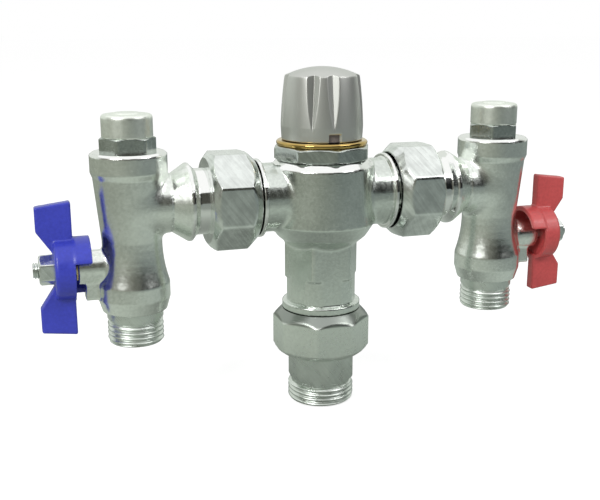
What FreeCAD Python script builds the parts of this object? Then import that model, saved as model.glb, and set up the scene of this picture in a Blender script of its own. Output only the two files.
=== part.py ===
import FreeCAD, Part
import math
import os

# Mixing valve for blending hot and cold water: a body with a knob on top, an outlet below and, on
# each side, a union that carries a combined isolator, strainer and non-return valve.
#
# Lengths are in millimetres. X runs along the arms (hot side +X), -Y is the front and Z is up.
# Heights in the functions count from the arm axis. write() lifts every piece by ARM_HEIGHT, so
# the origin ends up at the middle of the outlet's lower end face.
# A side's pieces are built for the hot side and mirrored for the cold one.

V = FreeCAD.Vector

# ---- fits -----------------------------------------------------------------------------------
RUNNING_GAP = 0.06           # radial, shafts and sleeves that turn or slide
THREAD_GAP = 0.05            # radial, between mated threads (drawn plain)
SEAL_GAP = 0.03              # between a seal and the piece that moves in it
FREE_GAP = 0.3               # between moving pieces that never touch

# ---- layout ---------------------------------------------------------------------------------
INLET_CENTRES = 148.0        # between the two vertical inlet axes
ARM_UNION_START = 28.0       # main axis to the first end of an arm nut
OUTLET_UNION_DROP = 45.5     # arm axis down to the first end of the outlet nut
STEM_DROP = 22.0             # arm axis down to the isolator stems

# ---- unions (arms and outlet are alike) -------------------------------------------------------
NUT_SIDES = 8
NUT_WALL = 3.0               # thread to a flat
NUT_CORNER = 1.35            # the nut's corners are turned to this much beyond its flats
NUT_FIRST_LIP = 0.6          # first end's face outside the thread, where its long chamfer starts
NUT_FIRST_CHAMFER = 4.0
NUT_LAST_LIP = 1.2           # last end's face outside the thread's radius
NUT_LAST_CHAMFER = 2.5
NUT_SHOULDER = 2.0           # inner shoulder that pulls on the split ring
UNION_THREAD_REACH = 11.0    # from the nut's first end to the end of the body's thread
GASKET_THICKNESS = 2.0
TAIL_NECK_R = 12.1
TAIL_LAND = 1.4              # from the tail's face to the groove of the split ring
TAIL_GROOVE_DEPTH = 1.1
TAIL_BORE_R = 9.0
SPLIT_RING_THICKNESS = 1.6
SPLIT_RING_PROUD = 1.8       # ring's edge beyond the tail's neck
SPLIT_RING_ROOM = 1.1        # ring's edge to the union thread
SPLIT_RING_OPENING = 3.0

# ---- mixing body ----------------------------------------------------------------------------
BODY_TOP = 11.7
BODY_TOP_R = 17.5            # inside the bright chamfer
BODY_SHOULDER = 9.4
BODY_SHOULDER_R = 19.8
BELLY_DROP = 10.5
BELLY_R = 20.9
NECK_DROP = 19.6             # where the belly's cone meets the six-sided neck
NECK_FLATS = 26.3
NECK_TURNED_R = 14.9
NECK_SINK = 4.0              # the six-sided neck reaches this far into the belly
NECK_STEP_DROP = 32.3        # below it the corners are turned further
SPIGOT_TURNED_R = 13.65
OUTLET_COLLAR_PROUD = 0.5    # beyond the union thread
OUTLET_COLLAR_WIDTH = 2.9
STUB_R = 13.2
STUB_COLLAR_START = 25.3
STUB_COLLAR_END = 26.9
STUB_GROOVE_DEPTH = 1.4      # below the union thread

# ---- cartridge in the mixing body ---------------------------------------------------------------
UPPER_SEAT = 7.0             # lower face of the bonnet, the hot seat
LOWER_SEAT_DROP = 11.0       # ledge in the body, the cold seat
LAND_TOP_DROP = 0.5          # the ring between the hot and cold galleries
LAND_BOTTOM_DROP = 3.5
GALLERY_R = 15.5
GALLERY_REACH = 17.2         # main axis to the blind end of each arm's bore
SHUTTLE_R = 12.5
SHUTTLE_WALL = 2.4
SHUTTLE_LIFT = 0.9           # opening at each seat in the middle setting
SHUTTLE_LIP_R = 9.4          # lip under the shuttle that takes the return spring
SHUTTLE_LIP = 1.5
SHUTTLE_HUB_R = 5.2
SHUTTLE_WEB = 3.0
SHUTTLE_WEB_DROP = 6.0       # lower face of the web
SHUTTLE_ARMS = 3
SHUTTLE_ARM_WIDTH = 3.0
CHAMBER_R = 11.0
SPRING_LEDGE_DROP = 42.0
OUTLET_BORE_R = 9.5
SHUTTLE_RING_SECTION = 0.75

ELEMENT_R = 6.5
ELEMENT_RIM = 4.0            # height of the capsule's wide rim
ELEMENT_STEP = 1.0           # from that rim in to the capsule's lower part
ELEMENT_TIP = 2.0            # height and width of the cone at its end
ELEMENT_BOTTOM_DROP = 34.0
ELEMENT_GUIDE_R = 3.4
ELEMENT_GUIDE_TOP = 1.0
PISTON_R = 1.4
PISTON_CAP_R = 3.2
PISTON_CAP = 1.0
PISTON_CAP_TOP = 9.6

# ---- bonnet, spindle and drive ------------------------------------------------------------------
BONNET_THREAD_R = 16.0
BONNET_SIDES = 8
BONNET_TURN = 22.5           # degrees, a corner to the front
BONNET_FLATS = 35.6
BONNET_TURNED_R = 19.1
BONNET_TOP = 18.4
BONNET_EDGE_R = 16.6         # top end of the collar, inside its chamfer
BONNET_EDGE = 1.5            # height of that chamfer
RING_SEAT = 1.6              # height of the spigot inside the trim ring
TOWER_R = 10.4
TOWER_STEP = 23.4
TOWER_TIP_R = 7.0
TOWER_TOP = 28.0
BONNET_SEAL_SECTION = 0.68
HEX_SOCKET_FLATS = 14.2      # keeps the drive sleeve from turning
HEX_SOCKET_TOP = 12.4
CUP_BORE_TOP = 21.5
SPINDLE_CUP_R = 7.0
SPINDLE_CUP_BOTTOM = 12.8
SPINDLE_CUP_TOP = 21.2
SPINDLE_CUP_ROOF = 1.6
SPINDLE_R = 4.0
SPINDLE_TOP = 41.0
SPINDLE_FLATS = 6.4          # across the two flats in the knob
SPINDLE_FLATS_FROM = 30.5
CLIP_THICKNESS = 0.8
CLIP_DEPTH = 0.6
CLIP_R = 5.6
CLIP_OPENING = 4.0
DRIVE_THREAD_R = 5.0
DRIVE_TOP = 18.6
DRIVE_HEX = 3.2
DRIVE_BOTTOM = 8.4
DRIVE_WALL = 1.3
DRIVE_ROOF = 1.2
SPINDLE_SEAL_SECTION = 0.78
SPINDLE_SEAL_HEIGHT = 24.5

# ---- trim ring and knob ---------------------------------------------------------------------------
TRIM_RING_SECTION = 1.7      # radius of its half-round edge
TRIM_RING_BORE_R = 13.0
TRIM_RING_R = 17.6           # overall
KNOB_BOTTOM_R = 15.5
KNOB_WIDE_R = 15.8
KNOB_WIDE = 27.0
KNOB_SHOULDER = 46.0
KNOB_SHOULDER_R = 14.2
KNOB_EDGE = 0.7              # rounded edge round the dome
KNOB_TOP = 49.0
KNOB_WALL = 1.6
KNOB_ROOF = 3.0
KNOB_HUB_R = 6.5
KNOB_HUB_BOTTOM = 31.0
FLUTE_PAIRS = 4
FLUTE_PITCH = 30.0           # degrees between the two flutes of a pair
FLUTE_TURN = -17.0           # degrees from the front to the first pair's middle
FLUTE_WIDTH = 4.4
FLUTE_DEPTH = 1.5
FLUTE_BOTTOM = 26.0
NOTCH_WIDTH = 4.8
NOTCH_HEIGHT = 3.6

# ---- tee body of a side -------------------------------------------------------------------------
TEE_TOP = 19.9
TEE_RIM_CHAMFER = 0.9
TEE_RIM_PROUD = 0.7          # turned rim beyond the casting under it
TEE_RIM = 7.2                # height of the turned rim
TEE_RIM_STEP = 0.8           # height of the slope under the rim
TEE_TAPER = 2.25             # the casting under the rim beyond the waist
TEE_WAIST_MARGIN = 0.45      # waist beyond the arm's radius
TEE_WAIST_DROP = 12.5
TEE_HIP_R = 13.4
TEE_HIP_DROP = 29.0
TEE_HIP = 5.5
TEE_BOTTOM_R = 12.0
TEE_BOTTOM_DROP = 39.3
ARM_R = 10.6
ARM_EDGE_GAP = 0.4           # the barrel's casting to the edge where the arm's casting ends
ARM_EDGE_DEPTH = 0.5
BEAD_R = 14.3
BEAD_AT = 53.0               # main axis to the bead behind the nut
BEAD_WIDTH = 0.8
BEAD_BACK = 1.9              # length of the bead's slope towards the nut
ARM_FILLET = 1.6             # where there is room beside the arm
SCREEN_CHAMBER_R = 9.4
SCREEN_FLOOR_DROP = 10.5
PLUG_THREAD_R = 9.8
PLUG_THREAD_DROP = 8.7       # length of the plug's thread below the tee's top
BOSS_R = 6.2
BOSS_END = 20.4              # inlet axis to the boss's outer end
LUG_WIDTH = 7.0
LUG_REACH = 12.0             # stem axis to the lug's lower face
LUG_START = 12.0             # inlet axis to the lug's inner end
LUG_END = 18.0

# ---- strainer plug, its cap and the screen ---------------------------------------------------------
PLUG_FLATS = 18.2
PLUG_HEX = 5.2
PLUG_TURNED_R = 10.3
CAP_R = 9.25
CAP_HEIGHT = 8.3
CAP_EDGE = 1.6
CAP_BUTTON_R = 4.6
CAP_BUTTON = 0.5
CAP_BORE_R = 6.9
CAP_ROOF = 2.4
NIPPLE_TOP = 5.4             # test nipple above the plug's hexagon, inside the cap
NIPPLE_BORE_R = 1.6
PLUG_SEAL_SECTION = 0.8
SCREEN_R = 7.6
SCREEN_WALL = 0.6
SCREEN_SLOTS = 10
SCREEN_SLOT_WIDTH = 1.6
SCREEN_SLOT_MARGIN = 2.4

# ---- ball isolator ----------------------------------------------------------------------------------
BALL_R = 8.3
BALL_BORE_R = 5.0
BALL_CHAMBER_R = 8.7
BALL_SLOT_DEPTH = 1.9
SEAT_LOW = 4.4               # ball centre to the near face of a seat
SEAT_HIGH = 7.4              # ball centre to the back of a seat
SEAT_BORE_R = 5.6
PASSAGE_R = 5.6
TANG_THICKNESS = 2.4
TANG_WIDTH = 5.6
STEM_FLANGE_R = 4.4
STEM_FLANGE_END = 11.4       # inlet axis to the flange's outer face
STEM_FLANGE_START = 9.7
STEM_R = 3.2
STEM_THREAD_R = 3.0
STEM_FLATS = 4.8
STEM_END = 36.0
PACKING_R = 4.8
PACKING_START = 13.6
PACKING_LENGTH = 3.0
GLAND_PROUD = 0.4

# ---- inlet adapter --------------------------------------------------------------------------------------
INLET_THREAD_R = 10.477      # G 1/2
INLET_THREAD_LENGTH = 8.4
INLET_NECK_R = 10.9
INLET_NECK = 2.9
INLET_GROOVE_R = 9.6
INLET_GROOVE = 1.2
ADAPTER_THREAD_R = 9.6
INLET_BORE_R = 6.6
THREAD_CHAMFER = 0.9

# ---- handle and its nut ---------------------------------------------------------------------------------
HANDLE_INNER = 21.5          # inlet axis to the handle's inner face
WING_SPAN = 50.0
WING_DEPTH = 12.7
WING_SLOPE = 1.6             # the wings' ends slope back by this much
WING_THICKNESS = 4.6
WING_SHOULDER = 14.4         # stem axis to the end of the outer edge's straight
WAIST_DEPTH = 7.0
WAIST_HALF = 5.9
WING_CORNER = 1.3
HUB_R = 11.2
HUB_EDGE = 1.4
SKIRT_R = 11.6
SKIRT_WALL = 2.0
SKIRT_START = 15.5           # inlet axis to the skirt's free edge
SKIRT_FLOOR = 1.8            # the cup reaches this far into the hub
STOP_GAP = 0.35              # between the skirt's ends and the lug
HANDLE_NUT_FLATS = 10.0
HANDLE_NUT = 5.4

# ---- outlet tailpiece ---------------------------------------------------------------------------------
TAIL_HEX_FLATS = 24.0
TAIL_HEX = 11.2
TAIL_HEX_CHAMFER = 1.0
TAIL_HEX_TURN = 30.0         # degrees, a corner to the front
OUTLET_THREAD_R = 13.2205    # G 3/4
OUTLET_THREAD_LENGTH = 8.6
TAIL_SHOW = 0.6              # of the neck, between the nut and the hexagon

# ---- non-return cartridge in each arm --------------------------------------------------------------------
CHECK_LENGTH = 14.0
CHECK_LIP = 1.0
CHECK_LIP_R = 9.9
CHECK_WALL = 0.9
CHECK_SEAT = 1.4
CHECK_SEAT_R = 5.2
CHECK_HUB_R = 4.4
CHECK_WEB = 1.6
CHECK_ARMS = 3
CHECK_ARM_WIDTH = 1.6
POPPET_R = 6.5
POPPET_DISC = 1.6
POPPET_STEM_R = 1.2

# ---- springs: mean radius, half width of the wire, turns ------------------------------------------
RETURN_SPRING_R = 10.2
RETURN_SPRING_WIRE = 0.55
RETURN_SPRING_TURNS = 3.5
OVERTRAVEL_SPRING_R = 2.45
OVERTRAVEL_SPRING_WIRE = 0.4
OVERTRAVEL_SPRING_TURNS = 3
CHECK_SPRING_R = 3.4
CHECK_SPRING_WIRE = 0.3
CHECK_SPRING_TURNS = 2.5
WIRE_SIDES = 4

# ---- sizes that follow from the ones above ----------------------------------------------------------------
INLET_X = INLET_CENTRES / 2
SPLIT_RING_R = TAIL_NECK_R + SPLIT_RING_PROUD
UNION_THREAD_R = SPLIT_RING_R + SPLIT_RING_ROOM
NUT_FLATS = 2 * (UNION_THREAD_R + NUT_WALL)
NUT_TURNED_R = NUT_FLATS / 2 + NUT_CORNER
TEE_WAIST_R = ARM_R + TEE_WAIST_MARGIN
TEE_CAST_R = TEE_WAIST_R + TEE_TAPER
TEE_RIM_R = TEE_CAST_R + TEE_RIM_PROUD
ARM_EDGE = INLET_X - TEE_CAST_R - ARM_EDGE_GAP
STUB_COLLAR_R = UNION_THREAD_R
STUB_GROOVE_R = UNION_THREAD_R - STUB_GROOVE_DEPTH
TAIL_FACE = UNION_THREAD_REACH + GASKET_THICKNESS
GROOVE_START = TAIL_FACE + TAIL_LAND
GROOVE_END = GROOVE_START + SPLIT_RING_THICKNESS
NUT_LENGTH = GROOVE_END + NUT_SHOULDER
ARM_TAIL_FACE = ARM_UNION_START + TAIL_FACE
OUTLET_HEX_START = NUT_LENGTH + TAIL_SHOW
OUTLET_END = OUTLET_HEX_START + TAIL_HEX + OUTLET_THREAD_LENGTH
ARM_HEIGHT = OUTLET_UNION_DROP + OUTLET_END
SHUTTLE_TOP = UPPER_SEAT - SHUTTLE_LIFT
SHUTTLE_BOTTOM = -LOWER_SEAT_DROP + SHUTTLE_LIFT
PLUG_TOP = TEE_TOP + PLUG_HEX
SCREEN_TOP = TEE_TOP - PLUG_THREAD_DROP
TRIM_RING_TOP = BONNET_TOP + 2 * TRIM_RING_SECTION
KNOB_BOTTOM = TRIM_RING_TOP + FREE_GAP
STEM_AXIS = V(INLET_X, 0, -STEM_DROP)


# ---- shapes ---------------------------------------------------------------------------------------
def bow(start, end, sag):
    """Outline entry for an arc from start to end whose middle stands sag off the chord.

    Going down an outline, a positive sag bulges outward and a negative one hollows it.
    """
    run = end[0] - start[0]
    rise = end[1] - start[1]
    length = math.hypot(run, rise)
    middle_r = (start[0] + end[0]) / 2 - sag * rise / length
    middle_z = (start[1] + end[1]) / 2 + sag * run / length
    return (middle_r, middle_z, end[0], end[1])


def face(outline):
    """Plane face in XZ. A pair is a corner; four numbers are an arc's middle and its end."""
    here = V(outline[0][-2], 0, outline[0][-1])
    edges = []
    for entry in outline[1:] + outline[:1]:
        end = V(entry[-2], 0, entry[-1])
        if len(entry) == 4:
            edges.append(Part.Arc(here, V(entry[0], 0, entry[1]), end).toShape())
        else:
            edges.append(Part.makeLine(here, end))
        here = end
    return Part.Face(Part.Wire(edges))


def lathe(outline):
    """Solid turned about the Z axis from an outline of (radius, height) entries."""
    return face(outline).revolve(V(0, 0, 0), V(0, 0, 1), 360)


def rod(radius, low, high):
    """Cylinder on the Z axis."""
    return Part.makeCylinder(radius, high - low, V(0, 0, low))


def tube(outer, inner, low, high):
    """Round sleeve on the Z axis."""
    return rod(outer, low, high).cut(rod(inner, low - 1, high + 1))


def pointed_rod(radius, low, high, chamfer):
    """Cylinder whose upper end is chamfered."""
    return lathe([(0, low), (radius, low), (radius, high - chamfer), (radius - chamfer, high), (0, high)])


def prism(sides, flats, low, high, turn=0.0):
    """Regular prism on the Z axis with a flat to the front, turned by some degrees."""
    corner_r = flats / 2 / math.cos(math.pi / sides)
    first = -90 + 180 / sides + turn
    corners = []
    for step in range(sides):
        angle = math.radians(first + 360 / sides * step)
        corners.append(V(corner_r * math.cos(angle), corner_r * math.sin(angle), low))
    outline = Part.makePolygon(corners + corners[:1])
    return Part.Face(outline).extrude(V(0, 0, high - low))


def block(x_range, y_range, z_range):
    """Box between three pairs of limits."""
    size = [high - low for low, high in (x_range, y_range, z_range)]
    return Part.makeBox(*size, V(x_range[0], y_range[0], z_range[0]))


def seal_ring(outer, section, height):
    """Seal squeezed in its groove: a ring whose section is an octagon of half width section."""
    flat = section * math.tan(math.pi / 8)
    centre = outer - section
    corners = []
    for across, up in ((flat, section), (section, flat), (section, -flat), (flat, -section)):
        corners.append((centre + across, height + up))
    for across, up in ((-flat, -section), (-section, -flat), (-section, flat), (-flat, section)):
        corners.append((centre + across, height + up))
    return lathe(corners)


def coil(mean_r, wire, turns, low, high):
    """Helical spring on the Z axis that fills the space from low to high."""
    travel = high - low - 2 * wire
    helix = Part.makeHelix(travel / turns, travel, mean_r)
    corners = []
    for step in range(WIRE_SIDES + 1):
        angle = 2 * math.pi * step / WIRE_SIDES
        corners.append(V(mean_r + wire * math.cos(angle), 0, wire * math.sin(angle)))
    section = Part.makePolygon(corners)
    solid = Part.Wire(helix.Edges).makePipeShell([section], True, True)
    solid.translate(V(0, 0, low + wire))
    return solid


def spokes(count, width, inner, outer, low, high):
    """Radial arms between two radii, joined by what they are fused to."""
    arms = []
    for step in range(count):
        arm = block((inner, outer), (-width / 2, width / 2), (low, high))
        arm.rotate(V(0, 0, 0), V(0, 0, 1), 90 + 360 / count * step)
        arms.append(arm)
    return arms


def to_arm(shape):
    """Lays a piece built on the Z axis along the hot arm, where +Z becomes +X."""
    laid = shape.copy()
    laid.rotate(V(0, 0, 0), V(0, 1, 0), 90)
    return laid


def to_stem(shape):
    """Lays a piece built on the Z axis along the hot stem, counted from the inlet axis."""
    laid = to_arm(shape)
    laid.translate(STEM_AXIS)
    return laid


def to_outlet(shape):
    """Turns a piece built up the Z axis to hang down from the body's outlet."""
    turned = shape.copy()
    turned.rotate(V(0, 0, 0), V(1, 0, 0), 180)
    turned.translate(V(0, 0, -OUTLET_UNION_DROP))
    return turned


def to_inlet(shape):
    """Moves a piece built on the Z axis to the hot inlet axis."""
    moved = shape.copy()
    moved.translate(V(INLET_X, 0, 0))
    return moved


def join(shapes):
    """Fuses solids and clears the seams between their faces."""
    return shapes[0].multiFuse(shapes[1:]).removeSplitter()


# ---- unions: built from the nut's first end at height 0 ------------------------------------------
def union_nut():
    """Eight-sided union nut with a thread bore and a shoulder at its last end."""
    turned = lathe([
        (0, 0), (UNION_THREAD_R + NUT_FIRST_LIP, 0), (NUT_TURNED_R, NUT_FIRST_CHAMFER),
        (NUT_TURNED_R, NUT_LENGTH - NUT_LAST_CHAMFER), (UNION_THREAD_R + NUT_LAST_LIP, NUT_LENGTH),
        (0, NUT_LENGTH),
    ])
    thread_r = UNION_THREAD_R + THREAD_GAP
    bore = join([
        rod(thread_r, -1, GROOVE_END),
        rod(TAIL_NECK_R + FREE_GAP, 0, NUT_LENGTH + 1),
    ])
    return prism(NUT_SIDES, NUT_FLATS, 0, NUT_LENGTH).common(turned).cut(bore)


def split_ring():
    """Split ring in the tail's groove, which the nut's shoulder pulls on."""
    groove_r = TAIL_NECK_R - TAIL_GROOVE_DEPTH
    body = tube(SPLIT_RING_R, groove_r + THREAD_GAP, GROOVE_START, GROOVE_END)
    opening = block((-SPLIT_RING_OPENING / 2, SPLIT_RING_OPENING / 2), (0, SPLIT_RING_R + 1),
                    (GROOVE_START - 1, GROOVE_END + 1))
    return body.cut(opening)


def union_gasket():
    """Flat washer between the body's end and the tail's face."""
    return tube(UNION_THREAD_R - FREE_GAP, TAIL_BORE_R + FREE_GAP, UNION_THREAD_REACH, TAIL_FACE)


def tail_groove():
    """Material turned off a tail for its split ring."""
    return tube(TAIL_NECK_R + 1, TAIL_NECK_R - TAIL_GROOVE_DEPTH, GROOVE_START, GROOVE_END)


# ---- mixing body and what it holds -------------------------------------------------------------------
def barrel():
    """Upper part of the casting: chamfered top, belly and the cone down to the neck."""
    belly = (BELLY_R, -BELLY_DROP)
    foot = (NECK_FLATS / 2, -NECK_DROP)
    return lathe([
        (0, BODY_TOP), (BODY_TOP_R, BODY_TOP), (BODY_SHOULDER_R, BODY_SHOULDER), belly,
        bow(belly, foot, 0.5), (0, -NECK_DROP),
    ])


def neck():
    """Six-sided neck, turned in two steps, with the outlet's collar and thread under it."""
    upper = prism(6, NECK_FLATS, -NECK_STEP_DROP, -NECK_DROP + NECK_SINK)
    upper = upper.common(rod(NECK_TURNED_R, -NECK_STEP_DROP, 0))
    collar_low = -OUTLET_UNION_DROP + 0.2
    collar_high = collar_low + OUTLET_COLLAR_WIDTH
    lower = prism(6, NECK_FLATS, collar_high, -NECK_STEP_DROP)
    lower = lower.common(rod(SPIGOT_TURNED_R, collar_high, -NECK_STEP_DROP))
    collar = rod(UNION_THREAD_R + OUTLET_COLLAR_PROUD, collar_low, collar_high)
    thread_end = -OUTLET_UNION_DROP - UNION_THREAD_REACH
    return [upper, lower, collar, rod(UNION_THREAD_R, thread_end, collar_low)]


def arm_stub():
    """One horizontal stub with its bright collar, groove and union thread."""
    end = ARM_UNION_START + UNION_THREAD_REACH
    return lathe([
        (0, 0), (STUB_R, 0), (STUB_R, STUB_COLLAR_START), (STUB_COLLAR_R, STUB_COLLAR_START + 0.5),
        (STUB_COLLAR_R, STUB_COLLAR_END), (STUB_GROOVE_R, STUB_COLLAR_END),
        (STUB_GROOVE_R, ARM_UNION_START + 0.4), (UNION_THREAD_R, ARM_UNION_START + 1.2),
        (UNION_THREAD_R, end), (0, end),
    ])


def body_bores():
    """Stepped bore for the cartridge, the two galleries and the arms' ports."""
    land_top = -LAND_TOP_DROP
    land_bottom = -LAND_BOTTOM_DROP
    seat = -LOWER_SEAT_DROP
    ledge = -SPRING_LEDGE_DROP
    outlet_end = -OUTLET_UNION_DROP - UNION_THREAD_REACH
    thread_r = BONNET_THREAD_R + THREAD_GAP
    bores = [
        rod(thread_r, land_top, BODY_TOP + 1),
        rod(BODY_SHOULDER_R, BODY_TOP, STUB_R + 1),
        rod(SHUTTLE_R + RUNNING_GAP, land_bottom - 1, land_top + 1),
        rod(GALLERY_R, seat, land_bottom),
        rod(CHAMBER_R, ledge, seat + 1),
        rod(OUTLET_BORE_R, outlet_end - 1, ledge + 1),
    ]
    arm_end = ARM_UNION_START + UNION_THREAD_REACH + 1
    for side, low, high in ((1, land_top, UPPER_SEAT), (-1, seat, land_bottom)):
        x_range = sorted((side * CHAMBER_R, side * (GALLERY_REACH + 1)))
        window = block(x_range, (-TAIL_BORE_R, TAIL_BORE_R), (low, high))
        port = to_arm(rod(TAIL_BORE_R, 0, GALLERY_REACH + 1))
        bore = to_arm(rod(TAIL_BORE_R, GALLERY_REACH, arm_end))
        if side < 0:
            port = port.mirror(V(0, 0, 0), V(1, 0, 0))
            bore = bore.mirror(V(0, 0, 0), V(1, 0, 0))
        bores.append(window.common(port))
        bores.append(bore)
    return bores


def mixing_body():
    """Cast body with its barrel, neck and two arm stubs, bored for the cartridge."""
    stub = to_arm(arm_stub())
    casting = join([barrel()] + neck() + [stub, stub.mirror(V(0, 0, 0), V(1, 0, 0))])
    return casting.cut(join(body_bores()))


def bonnet():
    """Eight-sided collar with a threaded spigot below and a tower for the spindle above."""
    shoulder = BONNET_TOP - BONNET_EDGE
    turned = lathe([
        (0, BODY_TOP), (BONNET_TURNED_R, BODY_TOP), (BONNET_TURNED_R, shoulder),
        (BONNET_EDGE_R, BONNET_TOP), (0, BONNET_TOP),
    ])
    collar = prism(BONNET_SIDES, BONNET_FLATS, BODY_TOP, BONNET_TOP, BONNET_TURN).common(turned)
    seal_floor = BONNET_THREAD_R - 2 * BONNET_SEAL_SECTION - SEAL_GAP
    seal_low = BODY_TOP - 2 * BONNET_SEAL_SECTION - SEAL_GAP
    spigot = rod(BONNET_THREAD_R, UPPER_SEAT, BODY_TOP)
    spigot = spigot.cut(tube(BONNET_THREAD_R + 1, seal_floor, seal_low, BODY_TOP))
    seat_r = TRIM_RING_BORE_R - THREAD_GAP
    seat_top = BONNET_TOP + RING_SEAT
    tower = lathe([
        (0, BONNET_TOP), (seat_r, BONNET_TOP), (seat_r, seat_top), (TOWER_R, seat_top),
        (TOWER_R, TOWER_STEP), (TOWER_TIP_R, TOWER_STEP + 1), (TOWER_TIP_R, TOWER_TOP), (0, TOWER_TOP),
    ])
    bores = join([
        prism(6, HEX_SOCKET_FLATS, UPPER_SEAT - 1, HEX_SOCKET_TOP),
        rod(SPINDLE_CUP_R + FREE_GAP, HEX_SOCKET_TOP - 1, CUP_BORE_TOP),
        rod(SPINDLE_R + RUNNING_GAP, CUP_BORE_TOP - 1, TOWER_TOP + 1),
    ])
    return join([collar, spigot, tower]).cut(bores)


def bonnet_o_ring():
    """Seal under the bonnet's collar."""
    section = BONNET_SEAL_SECTION
    return seal_ring(BONNET_THREAD_R, section, BODY_TOP - section - SEAL_GAP / 2)


def two_flats(radius, flats, low, high):
    """Rod with two flats that face front and back."""
    return rod(radius, low, high).common(block((-radius, radius), (-flats / 2, flats / 2), (low, high)))


def adjusting_spindle():
    """Spindle with a threaded cup below, a seal groove, a clip groove and a flatted top."""
    clip_low = TOWER_TOP + RUNNING_GAP
    shaft = rod(SPINDLE_R, SPINDLE_CUP_TOP - 1, SPINDLE_FLATS_FROM)
    tip = two_flats(SPINDLE_R, SPINDLE_FLATS, SPINDLE_FLATS_FROM, SPINDLE_TOP)
    cup = rod(SPINDLE_CUP_R, SPINDLE_CUP_BOTTOM, SPINDLE_CUP_TOP)
    seal = SPINDLE_SEAL_SECTION
    cuts = join([
        rod(DRIVE_THREAD_R + THREAD_GAP, SPINDLE_CUP_BOTTOM - 1, SPINDLE_CUP_TOP - SPINDLE_CUP_ROOF),
        tube(SPINDLE_R + 1, SPINDLE_R - CLIP_DEPTH, clip_low, clip_low + CLIP_THICKNESS),
        tube(SPINDLE_R + 0.5, SPINDLE_R - 2 * seal - SEAL_GAP, SPINDLE_SEAL_HEIGHT - seal - SEAL_GAP,
             SPINDLE_SEAL_HEIGHT + seal + SEAL_GAP),
    ])
    return join([shaft, tip, cup]).cut(cuts)


def spindle_o_ring():
    """Seal in the spindle's groove."""
    return seal_ring(SPINDLE_R, SPINDLE_SEAL_SECTION, SPINDLE_SEAL_HEIGHT)


def spindle_clip():
    """Open clip that keeps the spindle in the tower."""
    low = TOWER_TOP + RUNNING_GAP
    body = tube(CLIP_R, SPINDLE_R - CLIP_DEPTH, low, low + CLIP_THICKNESS)
    return body.cut(block((-CLIP_OPENING / 2, CLIP_OPENING / 2), (0, CLIP_R + 1), (low - 1, low + 2)))


def drive_sleeve():
    """Sleeve that the spindle's thread lifts and lowers, kept from turning by its hexagon."""
    hexagon = prism(6, HEX_SOCKET_FLATS - 2 * RUNNING_GAP, DRIVE_BOTTOM, DRIVE_BOTTOM + DRIVE_HEX)
    thread = rod(DRIVE_THREAD_R, DRIVE_BOTTOM, DRIVE_TOP)
    pocket = rod(DRIVE_THREAD_R - DRIVE_WALL, DRIVE_BOTTOM - 1, DRIVE_TOP - DRIVE_ROOF)
    return join([hexagon, thread]).cut(pocket)


def overtravel_spring():
    """Spring that lets the element push on when both seats are shut."""
    return coil(OVERTRAVEL_SPRING_R, OVERTRAVEL_SPRING_WIRE, OVERTRAVEL_SPRING_TURNS, PISTON_CAP_TOP,
                DRIVE_TOP - DRIVE_ROOF)


def element_piston():
    """Pin that the wax pushes out, with the cap that the overtravel spring sits on."""
    low = -SHUTTLE_WEB_DROP + 1
    return join([
        rod(PISTON_R, low, PISTON_CAP_TOP),
        rod(PISTON_CAP_R, PISTON_CAP_TOP - PISTON_CAP, PISTON_CAP_TOP),
    ])


def sensing_element():
    """Wax capsule with its guide, which is screwed into the shuttle's hub."""
    top = -SHUTTLE_WEB_DROP
    bottom = -ELEMENT_BOTTOM_DROP
    lower_r = ELEMENT_R - ELEMENT_STEP
    capsule = lathe([
        (0, ELEMENT_GUIDE_TOP), (ELEMENT_GUIDE_R, ELEMENT_GUIDE_TOP), (ELEMENT_GUIDE_R, top),
        (ELEMENT_R, top), (ELEMENT_R, top - ELEMENT_RIM),
        (lower_r, top - ELEMENT_RIM - ELEMENT_STEP), (lower_r, bottom + ELEMENT_TIP),
        (lower_r - ELEMENT_TIP, bottom), (0, bottom),
    ])
    return capsule.cut(rod(PISTON_R + RUNNING_GAP, top + 1, ELEMENT_GUIDE_TOP + 1))


def shuttle():
    """Sleeve whose two ends work against the hot and the cold seat."""
    inner = SHUTTLE_R - SHUTTLE_WALL
    sleeve = tube(SHUTTLE_R, inner, SHUTTLE_BOTTOM, SHUTTLE_TOP)
    lip = tube(inner + 1, SHUTTLE_LIP_R, SHUTTLE_BOTTOM, SHUTTLE_BOTTOM + SHUTTLE_LIP)
    web_low = -SHUTTLE_WEB_DROP
    web_high = web_low + SHUTTLE_WEB
    bore_r = ELEMENT_GUIDE_R + THREAD_GAP
    hub = tube(SHUTTLE_HUB_R, bore_r, web_low, web_high)
    web = spokes(SHUTTLE_ARMS, SHUTTLE_ARM_WIDTH, SHUTTLE_HUB_R - 0.8, inner + 1, web_low, web_high)
    groove = SHUTTLE_RING_SECTION + SEAL_GAP
    middle = -(LAND_TOP_DROP + LAND_BOTTOM_DROP) / 2
    cut = tube(SHUTTLE_R + 1, SHUTTLE_R - 2 * groove, middle - groove, middle + groove)
    return join([sleeve, lip, hub] + web).cut(cut)


def shuttle_o_ring():
    """Seal in the shuttle's groove, between the hot and the cold gallery."""
    middle = -(LAND_TOP_DROP + LAND_BOTTOM_DROP) / 2
    return seal_ring(SHUTTLE_R, SHUTTLE_RING_SECTION, middle)


def return_spring():
    """Spring between the ledge in the outlet and the shuttle's lip."""
    return coil(RETURN_SPRING_R, RETURN_SPRING_WIRE, RETURN_SPRING_TURNS, -SPRING_LEDGE_DROP, SHUTTLE_BOTTOM)


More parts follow.
